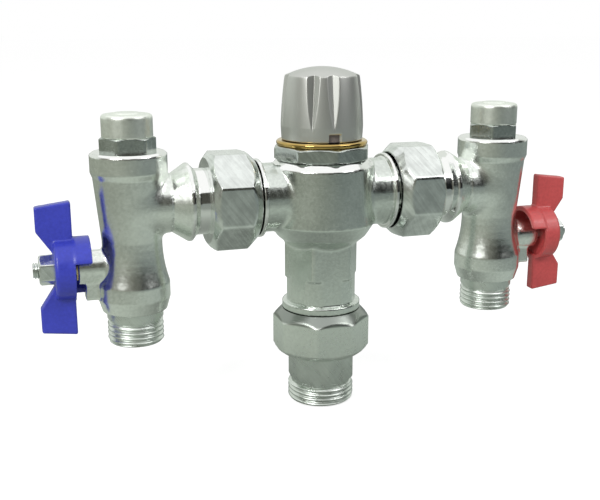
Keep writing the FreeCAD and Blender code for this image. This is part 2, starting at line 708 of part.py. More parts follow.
def trim_ring():
    """Polished half-round ring that sits on the bonnet, round its spigot and under the knob."""
    shoulder = TRIM_RING_R - TRIM_RING_SECTION
    return lathe([
        (TRIM_RING_BORE_R, BONNET_TOP), (TRIM_RING_BORE_R, TRIM_RING_TOP), (shoulder, TRIM_RING_TOP),
        bow((shoulder, TRIM_RING_TOP), (shoulder, BONNET_TOP), TRIM_RING_SECTION),
    ])


def flute(angle):
    """V-shaped cutter for one flute, its keel leaning inwards from the foot to the shoulder."""
    lean = (KNOB_WIDE_R - KNOB_SHOULDER_R + FLUTE_DEPTH) / (KNOB_SHOULDER - FLUTE_BOTTOM)
    top = KNOB_TOP + 1
    drop = top - FLUTE_BOTTOM
    keel = KNOB_WIDE_R - lean * drop
    reach = KNOB_WIDE_R + 1 - keel
    half = FLUTE_WIDTH / 2 * reach / FLUTE_DEPTH
    corners = [V(keel, 0, top), V(keel + reach, -half, top), V(keel + reach, half, top)]
    profile = Part.Face(Part.makePolygon(corners + corners[:1]))
    cutter = profile.extrude(V(lean * drop, 0, -drop))
    cutter.rotate(V(0, 0, 0), V(0, 0, 1), angle - 90)
    return cutter


def temperature_knob():
    """Hollow knob with pairs of flutes, a domed top, an inner hub and a notch at the front."""
    foot = (KNOB_BOTTOM_R, KNOB_BOTTOM)
    wide = (KNOB_WIDE_R, KNOB_WIDE)
    shoulder = (KNOB_SHOULDER_R, KNOB_SHOULDER - KNOB_EDGE)
    crown = (KNOB_SHOULDER_R - KNOB_EDGE, KNOB_SHOULDER)
    rise = KNOB_TOP - KNOB_SHOULDER
    dome_r = (crown[0] ** 2 + rise ** 2) / 2 / rise
    half_arc = math.asin(crown[0] / dome_r) / 2
    dome = (dome_r * math.sin(half_arc), KNOB_TOP - dome_r * (1 - math.cos(half_arc)), 0, KNOB_TOP)
    skin = lathe([
        (0, KNOB_BOTTOM), foot, wide, bow(wide, shoulder, -0.25),
        bow(shoulder, crown, -KNOB_EDGE / 4), dome,
    ])
    roof = KNOB_SHOULDER - KNOB_ROOF
    inside = lathe([
        (0, KNOB_BOTTOM - 1), (KNOB_BOTTOM_R - KNOB_WALL, KNOB_BOTTOM - 1),
        (KNOB_BOTTOM_R - KNOB_WALL, KNOB_WIDE), (KNOB_SHOULDER_R - KNOB_WALL - FLUTE_DEPTH, roof), (0, roof),
    ])
    inside = inside.cut(rod(KNOB_HUB_R, KNOB_HUB_BOTTOM, roof + 1))
    socket = two_flats(SPINDLE_R + THREAD_GAP, SPINDLE_FLATS + 2 * THREAD_GAP, KNOB_HUB_BOTTOM - 1,
                       SPINDLE_TOP + FREE_GAP)
    notch = block((-NOTCH_WIDTH / 2, NOTCH_WIDTH / 2), (-KNOB_WIDE_R - 1, -KNOB_BOTTOM_R + KNOB_WALL + 1),
                  (KNOB_BOTTOM - 1, KNOB_BOTTOM + NOTCH_HEIGHT))
    cuts = [inside, socket, notch]
    for pair in range(FLUTE_PAIRS):
        for half in (-0.5, 0.5):
            cuts.append(flute(FLUTE_TURN + 360 / FLUTE_PAIRS * pair + FLUTE_PITCH * half))
    for cut in cuts:
        skin = skin.cut(cut)
    return skin


def outlet_tailpiece():
    """Outlet tail: neck in the union, hexagon and pipe thread."""
    hex_end = OUTLET_HEX_START + TAIL_HEX
    neck_part = rod(TAIL_NECK_R, TAIL_FACE, OUTLET_HEX_START).cut(tail_groove())
    corner_r = TAIL_HEX_FLATS / 2 / math.cos(math.pi / 6)
    turned = lathe([
        (0, OUTLET_HEX_START), (corner_r - TAIL_HEX_CHAMFER, OUTLET_HEX_START),
        (corner_r - 0.05, OUTLET_HEX_START + TAIL_HEX_CHAMFER), (corner_r - 0.05, hex_end - TAIL_HEX_CHAMFER),
        (corner_r - 1.6 * TAIL_HEX_CHAMFER, hex_end), (0, hex_end),
    ])
    hexagon = prism(6, TAIL_HEX_FLATS, OUTLET_HEX_START, hex_end, TAIL_HEX_TURN).common(turned)
    thread = pointed_rod(OUTLET_THREAD_R, hex_end, OUTLET_END, THREAD_CHAMFER)
    tail = join([neck_part, hexagon, thread])
    return tail.cut(rod(OUTLET_BORE_R, TAIL_FACE - 1, OUTLET_END + 1))


# ---- pieces of a side, built for the hot side ------------------------------------------------------------
def tee_barrel():
    """Upright barrel of the tee: turned rim, tapering waist and hip."""
    cast_top = TEE_TOP - TEE_RIM
    waist = (TEE_WAIST_R, -TEE_WAIST_DROP)
    hip = (TEE_HIP_R, -TEE_HIP_DROP)
    return lathe([
        (0, TEE_TOP), (TEE_RIM_R - TEE_RIM_CHAMFER, TEE_TOP), (TEE_RIM_R, TEE_TOP - TEE_RIM_CHAMFER),
        (TEE_RIM_R, cast_top), (TEE_CAST_R, cast_top - TEE_RIM_STEP), waist, bow(waist, hip, -0.7),
        (TEE_HIP_R, -TEE_HIP_DROP - TEE_HIP), (TEE_BOTTOM_R, -TEE_BOTTOM_DROP), (0, -TEE_BOTTOM_DROP),
    ])


def tee_arm():
    """Arm of the tee: cast pipe, the cone up to the bead, and the tail's neck."""
    edge_r = ARM_R - ARM_EDGE_DEPTH
    neck_end = BEAD_AT - BEAD_WIDTH / 2 - BEAD_BACK
    arm = lathe([
        (0, ARM_TAIL_FACE), (TAIL_NECK_R - 0.4, ARM_TAIL_FACE), (TAIL_NECK_R, ARM_TAIL_FACE + 0.4),
        (TAIL_NECK_R, neck_end), (BEAD_R, BEAD_AT - BEAD_WIDTH / 2), (BEAD_R, BEAD_AT + BEAD_WIDTH / 2),
        (edge_r, ARM_EDGE - ARM_EDGE_DEPTH), (ARM_R, ARM_EDGE), (ARM_R, INLET_X), (0, INLET_X),
    ])
    groove = tail_groove()
    groove.translate(V(0, 0, ARM_UNION_START))
    return to_arm(arm.cut(groove))


def arm_junction(shape):
    """Edges where the arm's pipe runs into the tee's barrel."""
    found = []
    for edge in shape.Edges:
        first, last = edge.ParameterRange
        points = [edge.valueAt(first + (last - first) * part) for part in (0.2, 0.5, 0.8)]
        on_pipe = all(abs(math.hypot(p.y, p.z) - ARM_R) < 0.02 for p in points)
        beside_barrel = all(ARM_EDGE + 0.05 < p.x < INLET_X for p in points)
        if on_pipe and beside_barrel and edge.Curve.TypeId != "Part::GeomLine":
            found.append(edge)
    return found


def tee_body():
    """Cast tee with its arm, stem boss and stop lug, bored for ball, screen and plug."""
    blank = join([to_inlet(tee_barrel()), tee_arm()])
    slope = TEE_TAPER / (TEE_TOP - TEE_RIM - TEE_RIM_STEP + TEE_WAIST_DROP)
    beside_arm = TEE_WAIST_R + slope * TEE_WAIST_DROP - ARM_R
    blank = blank.makeFillet(min(ARM_FILLET, beside_arm), arm_junction(blank))
    boss = to_stem(rod(BOSS_R, 0, BOSS_END))
    lug = block((INLET_X + LUG_START, INLET_X + LUG_END), (-LUG_WIDTH / 2, LUG_WIDTH / 2),
                (-STEM_DROP - LUG_REACH, -STEM_DROP))
    ball = -STEM_DROP
    upright = join([
        rod(ADAPTER_THREAD_R + THREAD_GAP, -TEE_BOTTOM_DROP - 1, ball - SEAT_HIGH),
        rod(BALL_CHAMBER_R, ball - SEAT_HIGH - 1, ball + SEAT_HIGH),
        rod(PASSAGE_R, ball, -SCREEN_FLOOR_DROP + 1),
        rod(SCREEN_CHAMBER_R, -SCREEN_FLOOR_DROP, TEE_TOP),
        rod(PLUG_THREAD_R + THREAD_GAP, SCREEN_TOP, TEE_TOP + 1),
    ])
    along = join([
        to_arm(rod(TAIL_BORE_R, ARM_TAIL_FACE - 1, INLET_X)),
        to_arm(rod(CHECK_LIP_R + THREAD_GAP, ARM_TAIL_FACE - 1, ARM_TAIL_FACE + CHECK_LIP)),
    ])
    stem_bore = join([
        rod(STEM_FLANGE_R + RUNNING_GAP, 0, STEM_FLANGE_END + RUNNING_GAP),
        rod(STEM_R + RUNNING_GAP, 0, PACKING_START + 1),
        rod(PACKING_R, PACKING_START, BOSS_END + 1),
    ])
    casting = join([blank, boss, lug])
    for cut in (to_inlet(upright), along, to_stem(stem_bore)):
        casting = casting.cut(cut)
    return casting


def strainer_plug():
    """Six-sided plug with the nipple of the test point on top."""
    turned = lathe([
        (0, TEE_TOP), (PLUG_TURNED_R, TEE_TOP), (PLUG_TURNED_R, PLUG_TOP - 0.5),
        (PLUG_TURNED_R - 0.9, PLUG_TOP), (0, PLUG_TOP),
    ])
    seal = 2 * PLUG_SEAL_SECTION + SEAL_GAP
    thread = rod(PLUG_THREAD_R, SCREEN_TOP, TEE_TOP)
    thread = thread.cut(tube(PLUG_THREAD_R + 1, PLUG_THREAD_R - seal, TEE_TOP - seal, TEE_TOP))
    nipple = pointed_rod(CAP_BORE_R - THREAD_GAP, PLUG_TOP, PLUG_TOP + NIPPLE_TOP, 0.6)
    bore = join([
        rod(NIPPLE_BORE_R, SCREEN_TOP, PLUG_TOP + NIPPLE_TOP + 1),
        rod(SCREEN_R - SCREEN_WALL - 0.8, SCREEN_TOP - 1, TEE_TOP),
    ])
    return join([prism(6, PLUG_FLATS, TEE_TOP, PLUG_TOP).common(turned), thread, nipple]).cut(bore)


def plug_o_ring():
    """Seal under the plug's hexagon."""
    section = PLUG_SEAL_SECTION
    return seal_ring(PLUG_THREAD_R, section, TEE_TOP - section - SEAL_GAP / 2)


def plug_cap():
    """Round cap over the test nipple, with a rounded edge and a raised button."""
    top = PLUG_TOP + CAP_HEIGHT
    side = (CAP_R, top - CAP_EDGE)
    edge = (CAP_R - CAP_EDGE, top)
    cap = lathe([
        (0, PLUG_TOP), (CAP_R - 0.3, PLUG_TOP), (CAP_R, PLUG_TOP + 0.3), side,
        bow(side, edge, -0.29 * CAP_EDGE), (CAP_BUTTON_R + CAP_BUTTON, top),
        (CAP_BUTTON_R, top + CAP_BUTTON), (0, top + CAP_BUTTON),
    ])
    return cap.cut(rod(CAP_BORE_R, PLUG_TOP - 1, top - CAP_ROOF))


def strainer_screen():
    """Slotted sleeve that stands between the tee's floor and the plug."""
    low = -SCREEN_FLOOR_DROP
    screen = tube(SCREEN_R, SCREEN_R - SCREEN_WALL, low, SCREEN_TOP)
    for step in range(SCREEN_SLOTS // 2):
        slot = block((-SCREEN_R - 1, SCREEN_R + 1), (-SCREEN_SLOT_WIDTH / 2, SCREEN_SLOT_WIDTH / 2),
                     (low + SCREEN_SLOT_MARGIN, SCREEN_TOP - SCREEN_SLOT_MARGIN))
        slot.rotate(V(0, 0, 0), V(0, 0, 1), 360 / SCREEN_SLOTS * step)
        screen = screen.cut(slot)
    return screen


def ball():
    """Bored ball with the slot for the stem's tang."""
    sphere = Part.makeSphere(BALL_R, V(0, 0, -STEM_DROP))
    bore = rod(BALL_BORE_R, -STEM_DROP - BALL_R, -STEM_DROP + BALL_R)
    half = TANG_THICKNESS / 2 + RUNNING_GAP
    slot = block((BALL_R - BALL_SLOT_DEPTH, BALL_R + 1), (-BALL_R, BALL_R),
                 (-STEM_DROP - half, -STEM_DROP + half))
    return sphere.cut(bore).cut(slot)


def ball_seats():
    """Two soft rings, above and below the ball."""
    sphere = Part.makeSphere(BALL_R + SEAL_GAP, V(0, 0, -STEM_DROP))
    upper = tube(BALL_CHAMBER_R - SEAL_GAP, SEAT_BORE_R, -STEM_DROP + SEAT_LOW, -STEM_DROP + SEAT_HIGH)
    lower = tube(BALL_CHAMBER_R - SEAL_GAP, SEAT_BORE_R, -STEM_DROP - SEAT_HIGH, -STEM_DROP - SEAT_LOW)
    return Part.makeCompound([upper.cut(sphere), lower.cut(sphere)])


def inlet_adapter():
    """Screwed end that holds the lower seat and carries the inlet's pipe thread."""
    neck_low = -TEE_BOTTOM_DROP - INLET_NECK
    groove_low = neck_low - INLET_GROOVE
    end = groove_low - INLET_THREAD_LENGTH
    outline = [
        (0, -STEM_DROP - SEAT_HIGH), (ADAPTER_THREAD_R, -STEM_DROP - SEAT_HIGH),
        (ADAPTER_THREAD_R, -TEE_BOTTOM_DROP), (INLET_NECK_R, -TEE_BOTTOM_DROP), (INLET_NECK_R, neck_low),
        (INLET_GROOVE_R, neck_low), (INLET_GROOVE_R, groove_low), (INLET_THREAD_R - 0.5, groove_low),
        (INLET_THREAD_R, groove_low - 0.5), (INLET_THREAD_R, end + THREAD_CHAMFER),
        (INLET_THREAD_R - THREAD_CHAMFER, end), (0, end),
    ]
    return lathe(outline).cut(rod(INLET_BORE_R, end - 1, 0))


def stem():
    """Stem with its tang in the ball, a flange that cannot blow out, flats and a thread."""
    floor = BALL_R - BALL_SLOT_DEPTH + RUNNING_GAP
    tang = block((-TANG_THICKNESS / 2, TANG_THICKNESS / 2), (-TANG_WIDTH / 2, TANG_WIDTH / 2),
                 (floor, STEM_FLANGE_START + 0.5))
    seat = HANDLE_INNER + SKIRT_FLOOR
    hub_end = HANDLE_INNER + WAIST_DEPTH
    return join([
        tang, rod(STEM_FLANGE_R, STEM_FLANGE_START, STEM_FLANGE_END), rod(STEM_R, STEM_FLANGE_START, seat),
        two_flats(STEM_THREAD_R, STEM_FLATS, seat - 1, hub_end),
        pointed_rod(STEM_THREAD_R, hub_end, STEM_END, 0.5),
    ])


def stem_packing():
    """Soft ring round the stem."""
    return tube(PACKING_R - SEAL_GAP, STEM_R + SEAL_GAP, PACKING_START, PACKING_START + PACKING_LENGTH)


def gland_nut():
    """Ring nut that presses on the packing, slotted for a pin spanner."""
    low = PACKING_START + PACKING_LENGTH
    high = BOSS_END + GLAND_PROUD
    nut = tube(PACKING_R - THREAD_GAP, STEM_R + RUNNING_GAP, low, high)
    return nut.cut(block((-PACKING_R, PACKING_R), (-0.6, 0.6), (high - 1, high + 1)))


def wing_outline():
    """Outline of the two wings, counted from the stem axis, with rounded outer corners."""
    inner = HANDLE_INNER
    outer = HANDLE_INNER + WING_DEPTH
    waist = HANDLE_INNER + WAIST_DEPTH
    half = WING_SPAN / 2
    corner = WING_CORNER
    upper = [
        (inner, half), (outer - corner, half - WING_SLOPE),
        (outer - 0.29 * corner, half - WING_SLOPE - 0.29 * corner, outer, half - WING_SLOPE - corner),
        (outer, WING_SHOULDER), (waist, WAIST_HALF),
    ]
    lower = [
        (waist, -WAIST_HALF), (outer, -WING_SHOULDER), (outer, -half + WING_SLOPE + corner),
        (outer - 0.29 * corner, -half + WING_SLOPE + 0.29 * corner, outer - corner, -half + WING_SLOPE),
        (inner, -half),
    ]
    return upper + lower


def handle():
    """Butterfly handle: two wings, a round hub and a skirt whose gap rides round the stop lug."""
    wings = face(wing_outline()).extrude(V(0, WING_THICKNESS, 0))
    wings.translate(V(0, -WING_THICKNESS / 2, 0))
    hub_end = HANDLE_INNER + WAIST_DEPTH
    hub = lathe([
        (0, HANDLE_INNER), (HUB_R, HANDLE_INNER), (HUB_R, hub_end - HUB_EDGE),
        bow((HUB_R, hub_end - HUB_EDGE), (HUB_R - HUB_EDGE, hub_end), -0.29 * HUB_EDGE), (0, hub_end),
    ])
    skirt = lathe([
        (SKIRT_R - SKIRT_WALL, SKIRT_START), (SKIRT_R, SKIRT_START), (SKIRT_R, HANDLE_INNER - 0.6),
        (HUB_R, HANDLE_INNER + 0.6), (SKIRT_R - SKIRT_WALL, HANDLE_INNER + 0.6),
    ])
    reach = SKIRT_R + 2
    stop = LUG_WIDTH / 2 + STOP_GAP
    skirt = skirt.cut(block((-stop, reach), (-reach, stop), (SKIRT_START - 1, HANDLE_INNER)))
    cup = rod(SKIRT_R - SKIRT_WALL, SKIRT_START - 1, HANDLE_INNER + SKIRT_FLOOR)
    bore = two_flats(STEM_THREAD_R + THREAD_GAP, STEM_FLATS + 2 * THREAD_GAP, HANDLE_INNER, hub_end + 1)
    turned = join([hub, skirt]).cut(cup).cut(bore)
    body = to_arm(turned)
    wings = wings.cut(to_arm(rod(HUB_R - HUB_EDGE, HANDLE_INNER - 1, hub_end + WING_DEPTH)))
    solid = join([body, wings])
    solid.translate(STEM_AXIS)
    return solid


def handle_nut():
    """Six-sided nut on the stem, outside the handle."""
    low = HANDLE_INNER + WAIST_DEPTH
    high = low + HANDLE_NUT
    corner_r = HANDLE_NUT_FLATS / 2 / math.cos(math.pi / 6)
    turned = lathe([(0, low), (corner_r, low), (corner_r, high - 0.7), (corner_r - 1, high), (0, high)])
    nut = prism(6, HANDLE_NUT_FLATS, low, high).common(turned)
    return nut.cut(rod(STEM_THREAD_R + THREAD_GAP, low - 1, high + 1))


def check_cage():
    """Sleeve of the non-return cartridge, with a seat upstream and a spider downstream."""
    outer = TAIL_BORE_R - THREAD_GAP
    inner = outer - CHECK_WALL
    seat = CHECK_LENGTH - CHECK_SEAT
    return join([
        tube(outer, inner, 0, CHECK_LENGTH), tube(CHECK_LIP_R, inner, 0, CHECK_LIP),
        tube(inner + 0.4, CHECK_SEAT_R, seat, CHECK_LENGTH),
        tube(CHECK_HUB_R, POPPET_STEM_R + RUNNING_GAP, 0, CHECK_WEB),
    ] + spokes(CHECK_ARMS, CHECK_ARM_WIDTH, CHECK_HUB_R - 0.5, inner + 0.4, 0, CHECK_WEB))


def check_poppet():
    """Disc and stem of the non-return cartridge, at rest on the seat."""
    high = CHECK_LENGTH - CHECK_SEAT - SEAL_GAP
    low = high - POPPET_DISC
    return lathe([
        (0, -0.6), (POPPET_STEM_R, -0.6), (POPPET_STEM_R, low), (POPPET_R - 0.6, low),
        (POPPET_R, low + 0.6), (POPPET_R, high), (0, high),
    ])


def check_spring():
    """Light spring between the spider and the poppet."""
    return coil(CHECK_SPRING_R, CHECK_SPRING_WIRE, CHECK_SPRING_TURNS, CHECK_WEB,
                CHECK_LENGTH - CHECK_SEAT - SEAL_GAP - POPPET_DISC)


# ---- assembly --------------------------------------------------------------------------------------
def write(name, shape):
    """Lifts a piece to its height above the outlet's end and writes it to its own file."""
    lifted = shape.copy()
    lifted.translate(V(0, 0, ARM_HEIGHT))
    if not lifted.isValid():
        raise ValueError(name + " is not a valid solid")
    solids = lifted.Solids
    whole = solids[0] if len(solids) == 1 else Part.makeCompound(solids)
    whole.exportStep("parts/" + name + ".step")


def in_arm(shape, start):
    """Lays a piece along the hot arm, its own height 0 at start."""
    moved = shape.copy()
    moved.translate(V(0, 0, start))
    return to_arm(moved)


def centre_pieces():
    """Name and solid of each piece on the main axis."""
    return {
        "mixing_body": mixing_body(),
        "bonnet": bonnet(),
        "bonnet_o_ring": bonnet_o_ring(),
        "trim_ring": trim_ring(),
        "temperature_knob": temperature_knob(),
        "adjusting_spindle": adjusting_spindle(),
        "spindle_o_ring": spindle_o_ring(),
        "spindle_clip": spindle_clip(),
        "drive_sleeve": drive_sleeve(),
        "overtravel_spring": overtravel_spring(),
        "element_piston": element_piston(),
        "sensing_element": sensing_element(),
        "shuttle": shuttle(),
        "shuttle_o_ring": shuttle_o_ring(),
        "return_spring": return_spring(),
        "outlet_union_nut": to_outlet(union_nut()),
        "outlet_split_ring": to_outlet(split_ring()),
        "outlet_gasket": to_outlet(union_gasket()),
        "outlet_tailpiece": to_outlet(outlet_tailpiece()),
    }


def side_pieces():
    """Name and solid of each piece of a side, in its place on the hot side."""
    return {
        "union_nut": in_arm(union_nut(), ARM_UNION_START),
        "split_ring": in_arm(split_ring(), ARM_UNION_START),
        "union_gasket": in_arm(union_gasket(), ARM_UNION_START),
        "tee_body": tee_body(),
        "strainer_plug": to_inlet(strainer_plug()),
        "plug_o_ring": to_inlet(plug_o_ring()),
        "plug_cap": to_inlet(plug_cap()),
        "strainer_screen": to_inlet(strainer_screen()),
        "ball": to_inlet(ball()),
        "ball_seats": to_inlet(ball_seats()),
        "inlet_adapter": to_inlet(inlet_adapter()),
        "stem": to_stem(stem()),
        "stem_packing": to_stem(stem_packing()),
        "gland_nut": to_stem(gland_nut()),
        "handle": handle(),
        "handle_nut": to_stem(handle_nut()),
        "check_cage": in_arm(check_cage(), ARM_TAIL_FACE),
        "check_poppet": in_arm(check_poppet(), ARM_TAIL_FACE),
        "check_spring": in_arm(check_spring(), ARM_TAIL_FACE),
    }


def main():
    """Writes every piece, the sides once as hot and once mirrored as cold."""
    os.makedirs("parts", exist_ok=True)
    for name, shape in centre_pieces().items():
        write(name, shape)
    for name, shape in side_pieces().items():
        write("hot_" + name, shape)
        write("cold_" + name, shape.mirror(V(0, 0, 0), V(1, 0, 0)))


main()
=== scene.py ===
import logging
import math
from dataclasses import dataclass, field
from enum import Enum
from typing import Callable, Optional

import bmesh
import bpy
import numpy as np
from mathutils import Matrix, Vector


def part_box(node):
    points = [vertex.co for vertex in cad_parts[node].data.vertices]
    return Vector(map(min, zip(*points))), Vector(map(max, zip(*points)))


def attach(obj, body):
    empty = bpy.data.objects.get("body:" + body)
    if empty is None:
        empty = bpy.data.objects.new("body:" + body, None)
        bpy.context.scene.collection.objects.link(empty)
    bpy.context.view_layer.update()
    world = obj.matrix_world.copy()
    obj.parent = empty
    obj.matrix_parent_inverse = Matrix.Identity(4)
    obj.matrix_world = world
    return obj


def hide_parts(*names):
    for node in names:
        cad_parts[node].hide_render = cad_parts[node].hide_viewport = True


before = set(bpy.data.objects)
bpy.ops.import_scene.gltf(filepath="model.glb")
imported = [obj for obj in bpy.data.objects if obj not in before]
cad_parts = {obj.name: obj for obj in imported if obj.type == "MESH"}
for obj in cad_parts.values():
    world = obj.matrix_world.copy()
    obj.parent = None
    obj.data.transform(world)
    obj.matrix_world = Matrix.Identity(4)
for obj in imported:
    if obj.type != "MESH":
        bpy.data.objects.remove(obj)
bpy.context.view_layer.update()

LOG = logging.getLogger("mixing_valve")
MM = 0.001
AXIS = -4.0  # A radius beyond the axis, where the outlines of castings close.

Array = np.ndarray
RadiusRule = Callable[[Array, Array, Array], Array]


# ---------------------------------------------------------------------------------------------
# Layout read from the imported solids. Every length below is in millimetres from the arm axis.
# ---------------------------------------------------------------------------------------------
def middle(node: str) -> Vector:
    """Returns the middle of a solid's box, in metres."""
    low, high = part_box(node)
    return (low + high) / 2


@dataclass(frozen=True)
class Layout:
    """Places shared by all sub-assemblies, in millimetres.

    Attributes:
        arm_height: Height of the arm axis above the outlet's end.
        inlet_x: Distance from the main axis to an inlet axis.
        stem_height: Height of the isolator stems, from the arm axis.
        union_start: Main axis to the first end of an arm nut.
        outlet_start: Arm axis to the first end of the outlet nut, a negative height.
    """

    arm_height: float
    inlet_x: float
    stem_height: float
    union_start: float
    outlet_start: float

    @classmethod
    def read(cls) -> "Layout":
        """Reads the layout from the solids' boxes.

        Returns:
            The layout of this valve.
        """
        arm = middle("hot_union_nut").z / MM
        return cls(
            arm_height=arm,
            inlet_x=middle("hot_inlet_adapter").x / MM,
            stem_height=middle("hot_handle_nut").z / MM - arm,
            union_start=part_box("hot_union_nut")[0].x / MM,
            outlet_start=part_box("outlet_union_nut")[1].z / MM - arm,
        )


PLACE = Layout.read()


class Side(Enum):
    """The two supplies. The value is the sign of X."""

    COLD = -1
    HOT = 1

    @property
    def label(self) -> str:
        """Returns the start of this side's node names."""
        return self.name.lower() + "_"


class Pose(Enum):
    """How a form built on the Z axis is laid into the valve."""

    UPRIGHT = "upright"
    ARM = "arm"
    STEM = "stem"
    OUTLET = "outlet"
    INLET = "inlet"


def laid(points: Array, pose: Pose, side: Side = Side.HOT) -> Array:
    """Moves points from a form's own axis to their place in the valve.

    Args:
        points: Points of the form, in millimetres, its axis on Z.
        pose: Where the form's axis goes.
        side: The side that it belongs to.

    Returns:
        The points in metres, in the frame of the part.
    """
    x, y, z = points[:, 0].copy(), points[:, 1].copy(), points[:, 2].copy()
    sign = side.value
    if pose is Pose.ARM:
        x, z = sign * (z + PLACE.union_start), -x
    elif pose is Pose.STEM:
        x, z = sign * (z + PLACE.inlet_x), -x + PLACE.stem_height
    elif pose is Pose.OUTLET:
        y, z = -y, PLACE.outlet_start - z
    elif pose is Pose.INLET:
        x = x + sign * PLACE.inlet_x
    return np.stack([x, y, z + PLACE.arm_height], axis=1) * MM


def finished_mesh(name: str, points: Array, faces: list, flip: bool) -> bpy.types.Object:
    """Makes a smooth-shaded object from points and faces.

    Args:
        name: Name of the object.
        points: Points in metres.
        faces: Faces as tuples of point numbers.
        flip: Whether the faces are turned over.

    Returns:
        The new object, linked to the scene.
    """
    mesh = bpy.data.meshes.new(name)
    mesh.from_pydata(points.tolist(), [], faces)
    build = bmesh.new()
    build.from_mesh(mesh)
    bmesh.ops.remove_doubles(build, verts=build.verts, dist=1.2e-6)
    bmesh.ops.dissolve_degenerate(build, edges=build.edges, dist=1.0e-6)
    if flip:
        bmesh.ops.reverse_faces(build, faces=build.faces)
    for polygon in build.faces:
        polygon.smooth = True
    build.to_mesh(mesh)
    build.free()
    mesh.update()
    made = bpy.data.objects.new(name, mesh)
    bpy.context.scene.collection.objects.link(made)
    return made


# ---------------------------------------------------------------------------------------------
# Turned forms: an outline swept round an axis, then trimmed by flats, flutes or a thread.
# ---------------------------------------------------------------------------------------------
def blend_low(first: Array, second: Array, width: float) -> Array:
    """Returns the lower of two values, with a rounded change-over.

    Args:
        first: First values.
        second: Second values.
        width: How far the change-over reaches.

    Returns:
        The rounded minimum.
    """
    share = np.clip(0.5 + 0.5 * (second - first) / width, 0.0, 1.0)
    return second * (1 - share) + first * share - width * share * (1 - share)


def softened(corners: list, step: float) -> Array:
    """Rounds the corners of an outline and divides its long runs.

    Args:
        corners: (radius, height, rounding) entries, in order.
        step: Longest run that is left between two points.

    Returns:
        The points of the outline, as rows of radius and height.
    """
    points = []
    count = len(corners)
    for index, (radius, height, rounding) in enumerate(corners):
        here = np.array([radius, height])
        if rounding <= 0 or index in (0, count - 1):
            points.append(here)
            continue
        before = np.array(corners[index - 1][:2]) - here
        after = np.array(corners[index + 1][:2]) - here
        before_length = np.linalg.norm(before)
        after_length = np.linalg.norm(after)
        before /= before_length
        after /= after_length
        half = math.acos(float(np.clip(before @ after, -1, 1))) / 2
        if half > math.pi / 2 - 0.02:
            points.append(here)
            continue
        reach = min(rounding / math.tan(half), 0.45 * before_length, 0.45 * after_length)
        steps = max(3, int((math.pi - 2 * half) / 0.26))
        start = here + before * reach
        end = here + after * reach
        for part in range(steps + 1):
            t = part / steps
            points.append(start * (1 - t) ** 2 + here * 2 * t * (1 - t) + end * t**2)
    divided = [points[0]]
    for end in points[1:]:
        start = divided[-1]
        length = float(np.linalg.norm(end - start))
        if length < 1e-6:
            continue
        pieces = max(1, math.ceil(length / step))
        for part in range(1, pieces + 1):
            divided.append(start + (end - start) * part / pieces)
    return np.array(divided)


@dataclass
class TurnedForm:
    """A turned piece with an optional rule that trims its radius.

    Attributes:
        corners: (radius, height, rounding) entries, from the foot to the top.
        rule: Gives the trimmed radius from angle, radius and height, or None.
        ring: Whether the outline closes on itself, as round a bore.
        segments: Points round the axis.
        step: Longest run along the outline.
    """

    corners: list
    rule: Optional[RadiusRule] = None
    ring: bool = False
    segments: int = 144
    step: float = 2.0

    def build(self, name: str, pose: Pose, side: Side = Side.HOT) -> bpy.types.Object:
        """Builds the mesh in its place.

        Args:
            name: Name of the object.
            pose: Where the axis goes.
            side: The side that it belongs to.

        Returns:
            The new object.
        """
        outline = softened(self.corners + (self.corners[:1] if self.ring else []), self.step)
        if self.ring:
            outline = outline[:-1]
        angles = np.arange(self.segments) * 2 * math.pi / self.segments - math.pi / 2
        angle, radius = np.meshgrid(angles, outline[:, 0])
        height = np.repeat(outline[:, 1:2], self.segments, axis=1)
        if self.rule is not None:
            radius = np.maximum(self.rule(angle, radius, height), 0.0)
        points = np.stack([radius * np.cos(angle), radius * np.sin(angle), height], axis=2)
        rows = len(outline)
        faces = []
        last = rows if self.ring else rows - 1
        for row in range(last):
            above = (row + 1) % rows
            for step in range(self.segments):
                beside = (step + 1) % self.segments
                faces.append((
                    row * self.segments + step, row * self.segments + beside,
                    above * self.segments + beside, above * self.segments + step,
                ))
        flip = side is Side.COLD and pose in (Pose.ARM, Pose.STEM)
        return finished_mesh(name, laid(points.reshape(-1, 3), pose, side), faces, flip)


def flats(count: int, across: float, low: float, high: float, turn: float = 0.0,
          edge: float = 0.3) -> RadiusRule:
    """Makes a rule that mills flats between two heights.

    Args:
        count: Number of flats.
        across: Size across two opposite flats.
        low: Where the flats start.
        high: Where they end.
        turn: Degrees by which the first flat is turned from the front.
        edge: Reach of the rounding at the corners and where flats run out.

    Returns:
        The rule.
    """

    def rule(angle: Array, radius: Array, height: Array) -> Array:
        """Returns the radius trimmed by the flats."""
        pitch = 2 * math.pi / count
        local = np.mod(angle + math.pi / 2 - math.radians(turn) + pitch / 2, pitch) - pitch / 2
        limit = across / 2 / np.cos(local)
        trimmed = blend_low(radius, limit, edge)
        inside = (height >= low - 1e-6) & (height <= high + 1e-6)
        return np.where(inside & (radius > across / 2 * 0.9), trimmed, radius)

    return rule


def thread(major: float, pitch: float, low: float, high: float) -> RadiusRule:
    """Makes a rule that cuts a rounded pipe thread between two heights.

    Args:
        major: Outer radius of the thread.
        pitch: Distance between two turns.
        low: Where the thread starts.
        high: Where it ends.

    Returns:
        The rule.
    """
    depth = 0.64 * pitch

    def rule(angle: Array, radius: Array, height: Array) -> Array:
        """Returns the radius with the thread cut into it."""
        turn = np.mod(height / pitch + angle / (2 * math.pi), 1.0)
        wave = 0.5 - 0.5 * np.cos(2 * math.pi * turn)
        groove = depth * wave**1.25
        fade = np.clip((height - low) / (0.5 * pitch), 0, 1) * np.clip((high - height) / (0.5 * pitch), 0, 1)
        inside = radius > major - depth * 1.6
        return np.where(inside, np.minimum(radius, major - groove * fade), radius)

    return rule


